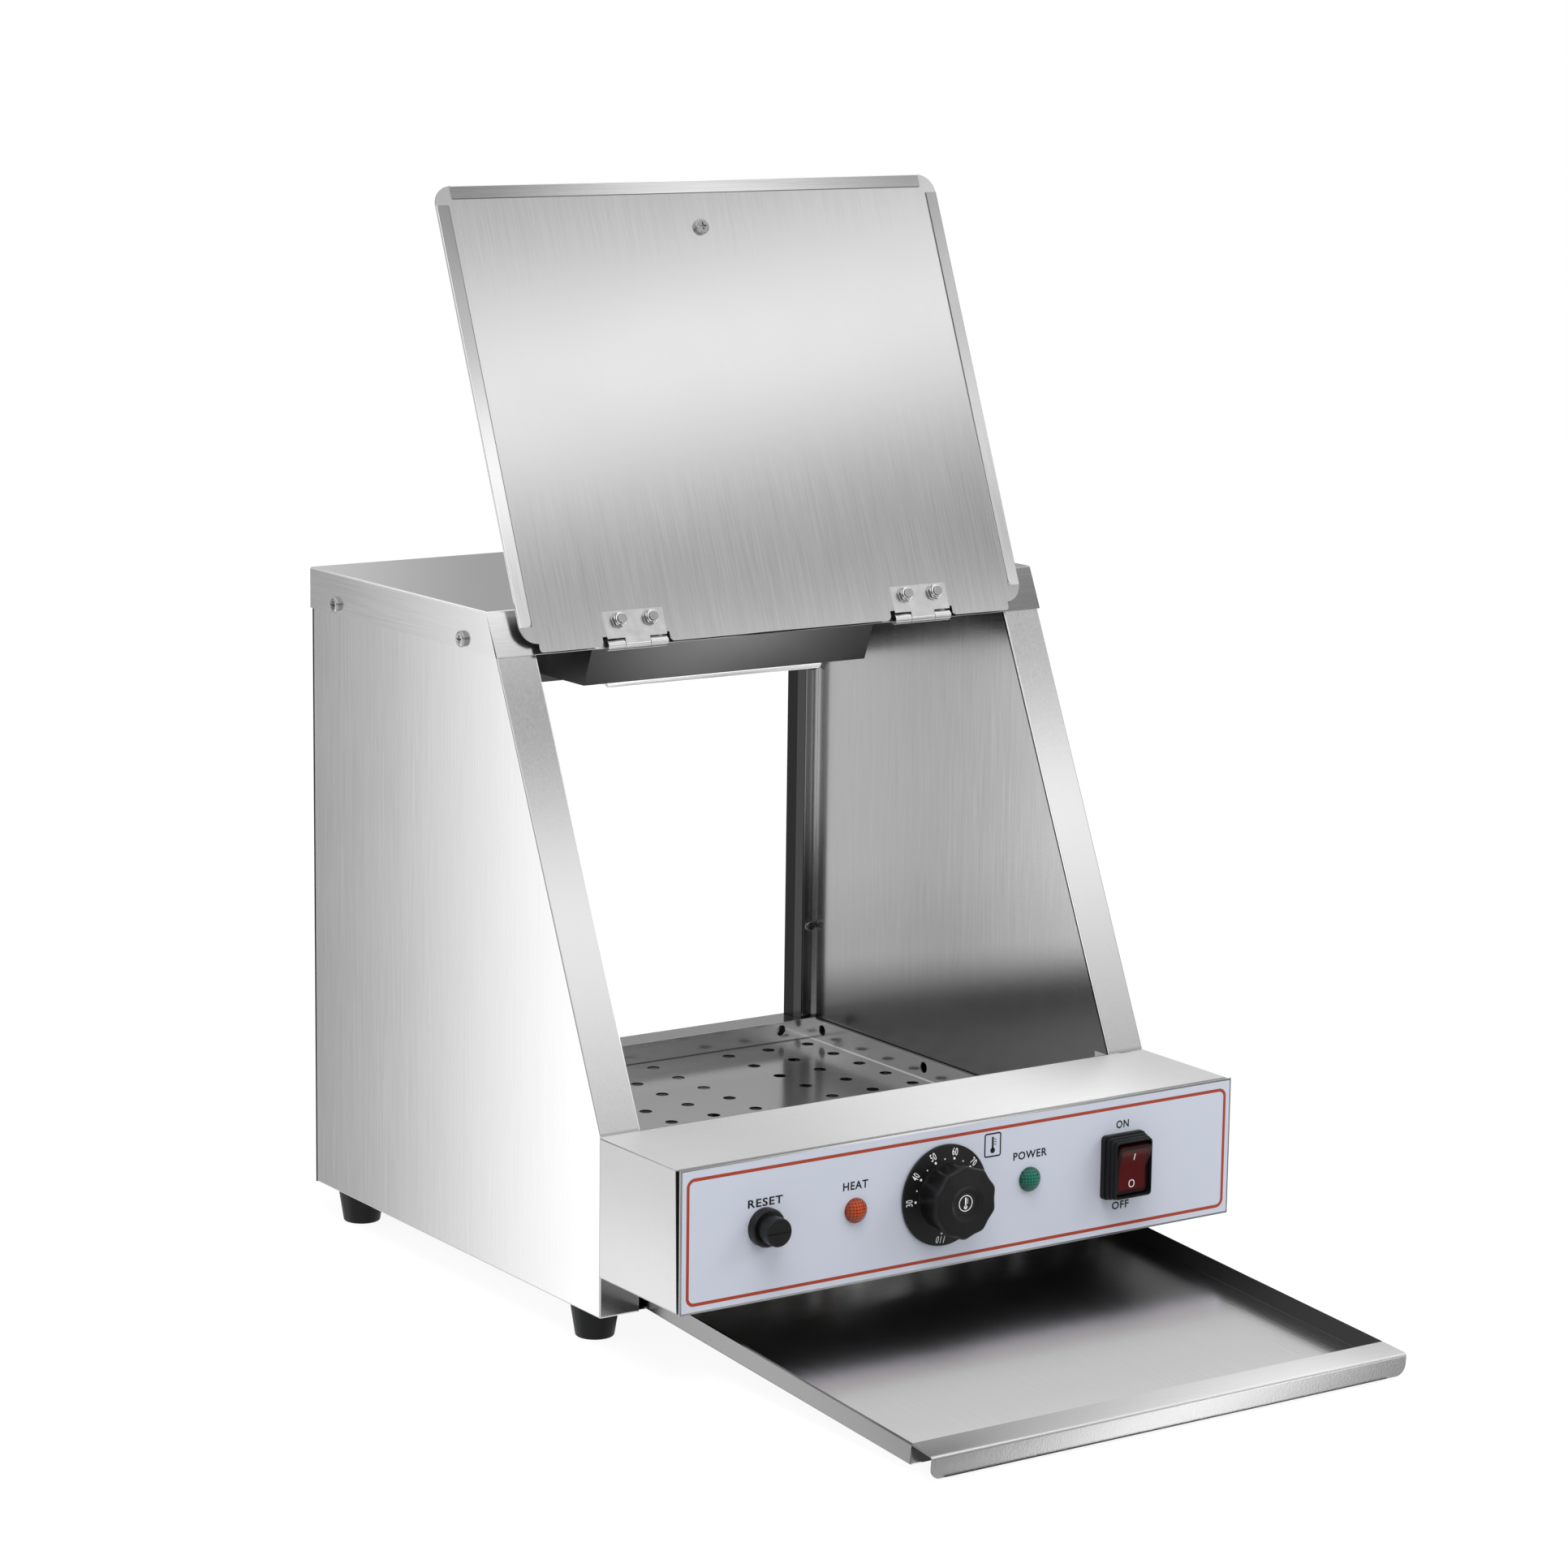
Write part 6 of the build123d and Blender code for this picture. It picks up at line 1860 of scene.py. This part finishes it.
# Each lamp has its place, its size in metres and its power in watts
LAMPS = {
    "lamp_above": (Vector((-0.6, -1.0, 2.4)), 1.6, 36),
    "lamp_right": (Vector((1.9, -1.3, 1.4)), 1.2, 14),
}
for name, (spot, size, watts) in LAMPS.items():
    lamp = fresh(name, bpy.ops.object.light_add, type="AREA", location=spot)
    lamp.data.shape = "SQUARE"
    lamp.data.size = size
    lamp.data.energy = watts
    lamp.rotation_euler = (LAMP_TARGET - spot).to_track_quat("-Z", "Y").to_euler()
    lamp.visible_camera = False
    lamp.visible_glossy = False
print("lamps:", *LAMPS)

# %% Cards that the steel reflects
LEAN_START = 0.5
LEAN_RISE = 0.12


def card_paper(name, along, stops, lean, sides):
    """Paper that shines in greys along one axis. Its bands may lean, by a slope low down and one high up."""
    material, recipe = new_finish(name)
    x, y = recipe.axes()[:2]
    share = (x if along == "X" else y) + 0.5
    if lean:
        low, high = lean
        upper = ((share - LEAN_START) / LEAN_RISE).larger(0.0).smaller(1.0)
        share = share + x * (upper * (high - low) + low) * (sides[0] / sides[1])
    glow = recipe.add("ShaderNodeEmission", {}, {"Color": recipe.ramp(share, stops), "Strength": 1.0})
    clear = recipe.add("ShaderNodeBsdfTransparent", {}, {})
    behind = recipe.add("ShaderNodeNewGeometry", {}, {}, output="Backfacing")
    sheet = recipe.add("ShaderNodeMixShader", {}, {0: behind, 1: glow, 2: clear})
    recipe.add("ShaderNodeOutputMaterial", {}, {"Surface": sheet})
    return material


def card(name, levels, spot, facing, breadth, along, lean):
    """A card that only reflections see. Its levels are given at places along it, in metres."""
    start = levels[0][0]
    length = levels[-1][0] - start
    stops = [((place - start) / length, level) for place, level in levels]
    sides = (length, breadth) if along == "X" else (breadth, length)
    sheet = fresh(name, bpy.ops.mesh.primitive_plane_add, size=1, location=spot)
    sheet.scale = (*sides, 1)
    sheet.rotation_euler = Vector(facing).to_track_quat("Z", "Y").to_euler()
    give_finishes(sheet, card_paper(name + "_paper", along, stops, lean, sides))
    for ray in ("camera", "diffuse", "transmission", "shadow"):
        setattr(sheet, "visible_" + ray, False)


# %% Setting the cards up
# Levels of light at places along each card, in metres
LEFT_CARD = ((0.5, 1.9), (0.78, 1.9), (1.36, 0.3), (1.5, 0.6), (2.7, 0.7))
FRONT_CARD = ((0.2, 0.65), (0.53, 0.65), (0.8, 1.46), (1.02, 0.26), (1.25, 1.55), (1.46, 0.52), (1.7, 0.5))
FRONT_LEAN = (0.03, 0.165)
LIP_CARD = ((-0.15, 0.22), (0.28, 0.22), (0.46, 1.6), (0.64, 0.24), (1.07, 0.24))
BACK_CARD = ((0.2, 0.76), (0.4, 0.74), (0.66, 0.43), (1.8, 0.4))
UNDER_SHADE_CARD = ((-0.31, 0.05), (0.33, 0.05))
SKIRTING_CARD = ((0.036, 0.5), (0.05, 0.66), (0.083, 0.66), (0.095, 0.8), (0.135, 0.8))

# Each card has its levels, its spot, the way it faces, its breadth, the axis of its levels and its lean
CARDS = {
    "card_left": (LEFT_CARD, (-0.75, 1.6, -0.25), (1, 0, 0), 1.4, "X", None),
    "card_front": (FRONT_CARD, (0.75, -0.8, 0.95), (0, 1, 0), 2.0, "Y", FRONT_LEAN),
    "card_lip": (LIP_CARD, (0.46, -0.8, -0.3), (0, 1, 0), 0.7, "X", None),
    "card_back": (BACK_CARD, (1.0, 1.5, 0.7), (0, -1, 0), 1.2, "X", None),
    # The card under the cabinet is painted shade: it stands for the shaded floor beneath it in reflections.
    "card_shade_under": (UNDER_SHADE_CARD, (0, 0.01, 0.0005), (0, 0, 1), 0.3, "Y", None),
    "card_skirting": (SKIRTING_CARD, (0.08, -0.142, 0.0855), (0, -1, 0), 0.56, "Y", None),
}
for name, settings in CARDS.items():
    card(name, *settings)
print("cards:", *CARDS)

# %% [markdown]
# ## Camera
# The camera stands where the photograph was taken.
# That is to the left of the object and a little above it, with a long lens.

# %% Setting the camera
CAMERA_SPOT = Vector((-1.45897, -2.06630, 0.77916))
CAMERA_AZIMUTH = radians(34.35)
CAMERA_ELEVATION = radians(10.82)
CAMERA_ROLL = radians(0.758)
CAMERA_SENSOR = 36.0
CAMERA_LENS = 103.45
camera = fresh("Camera", bpy.ops.object.camera_add, location=CAMERA_SPOT)
turn = Matrix.Rotation(-CAMERA_AZIMUTH, 4, "Z") @ Matrix.Rotation(pi / 2 - CAMERA_ELEVATION, 4, "X")
camera.matrix_world = Matrix.Translation(CAMERA_SPOT) @ turn @ Matrix.Rotation(CAMERA_ROLL, 4, "Z")
camera.data.sensor_width = CAMERA_SENSOR
camera.data.lens = CAMERA_LENS
bpy.context.scene.camera = camera
bpy.context.scene.view_settings.view_transform = "Standard"
print("camera", CAMERA_LENS, "mm")
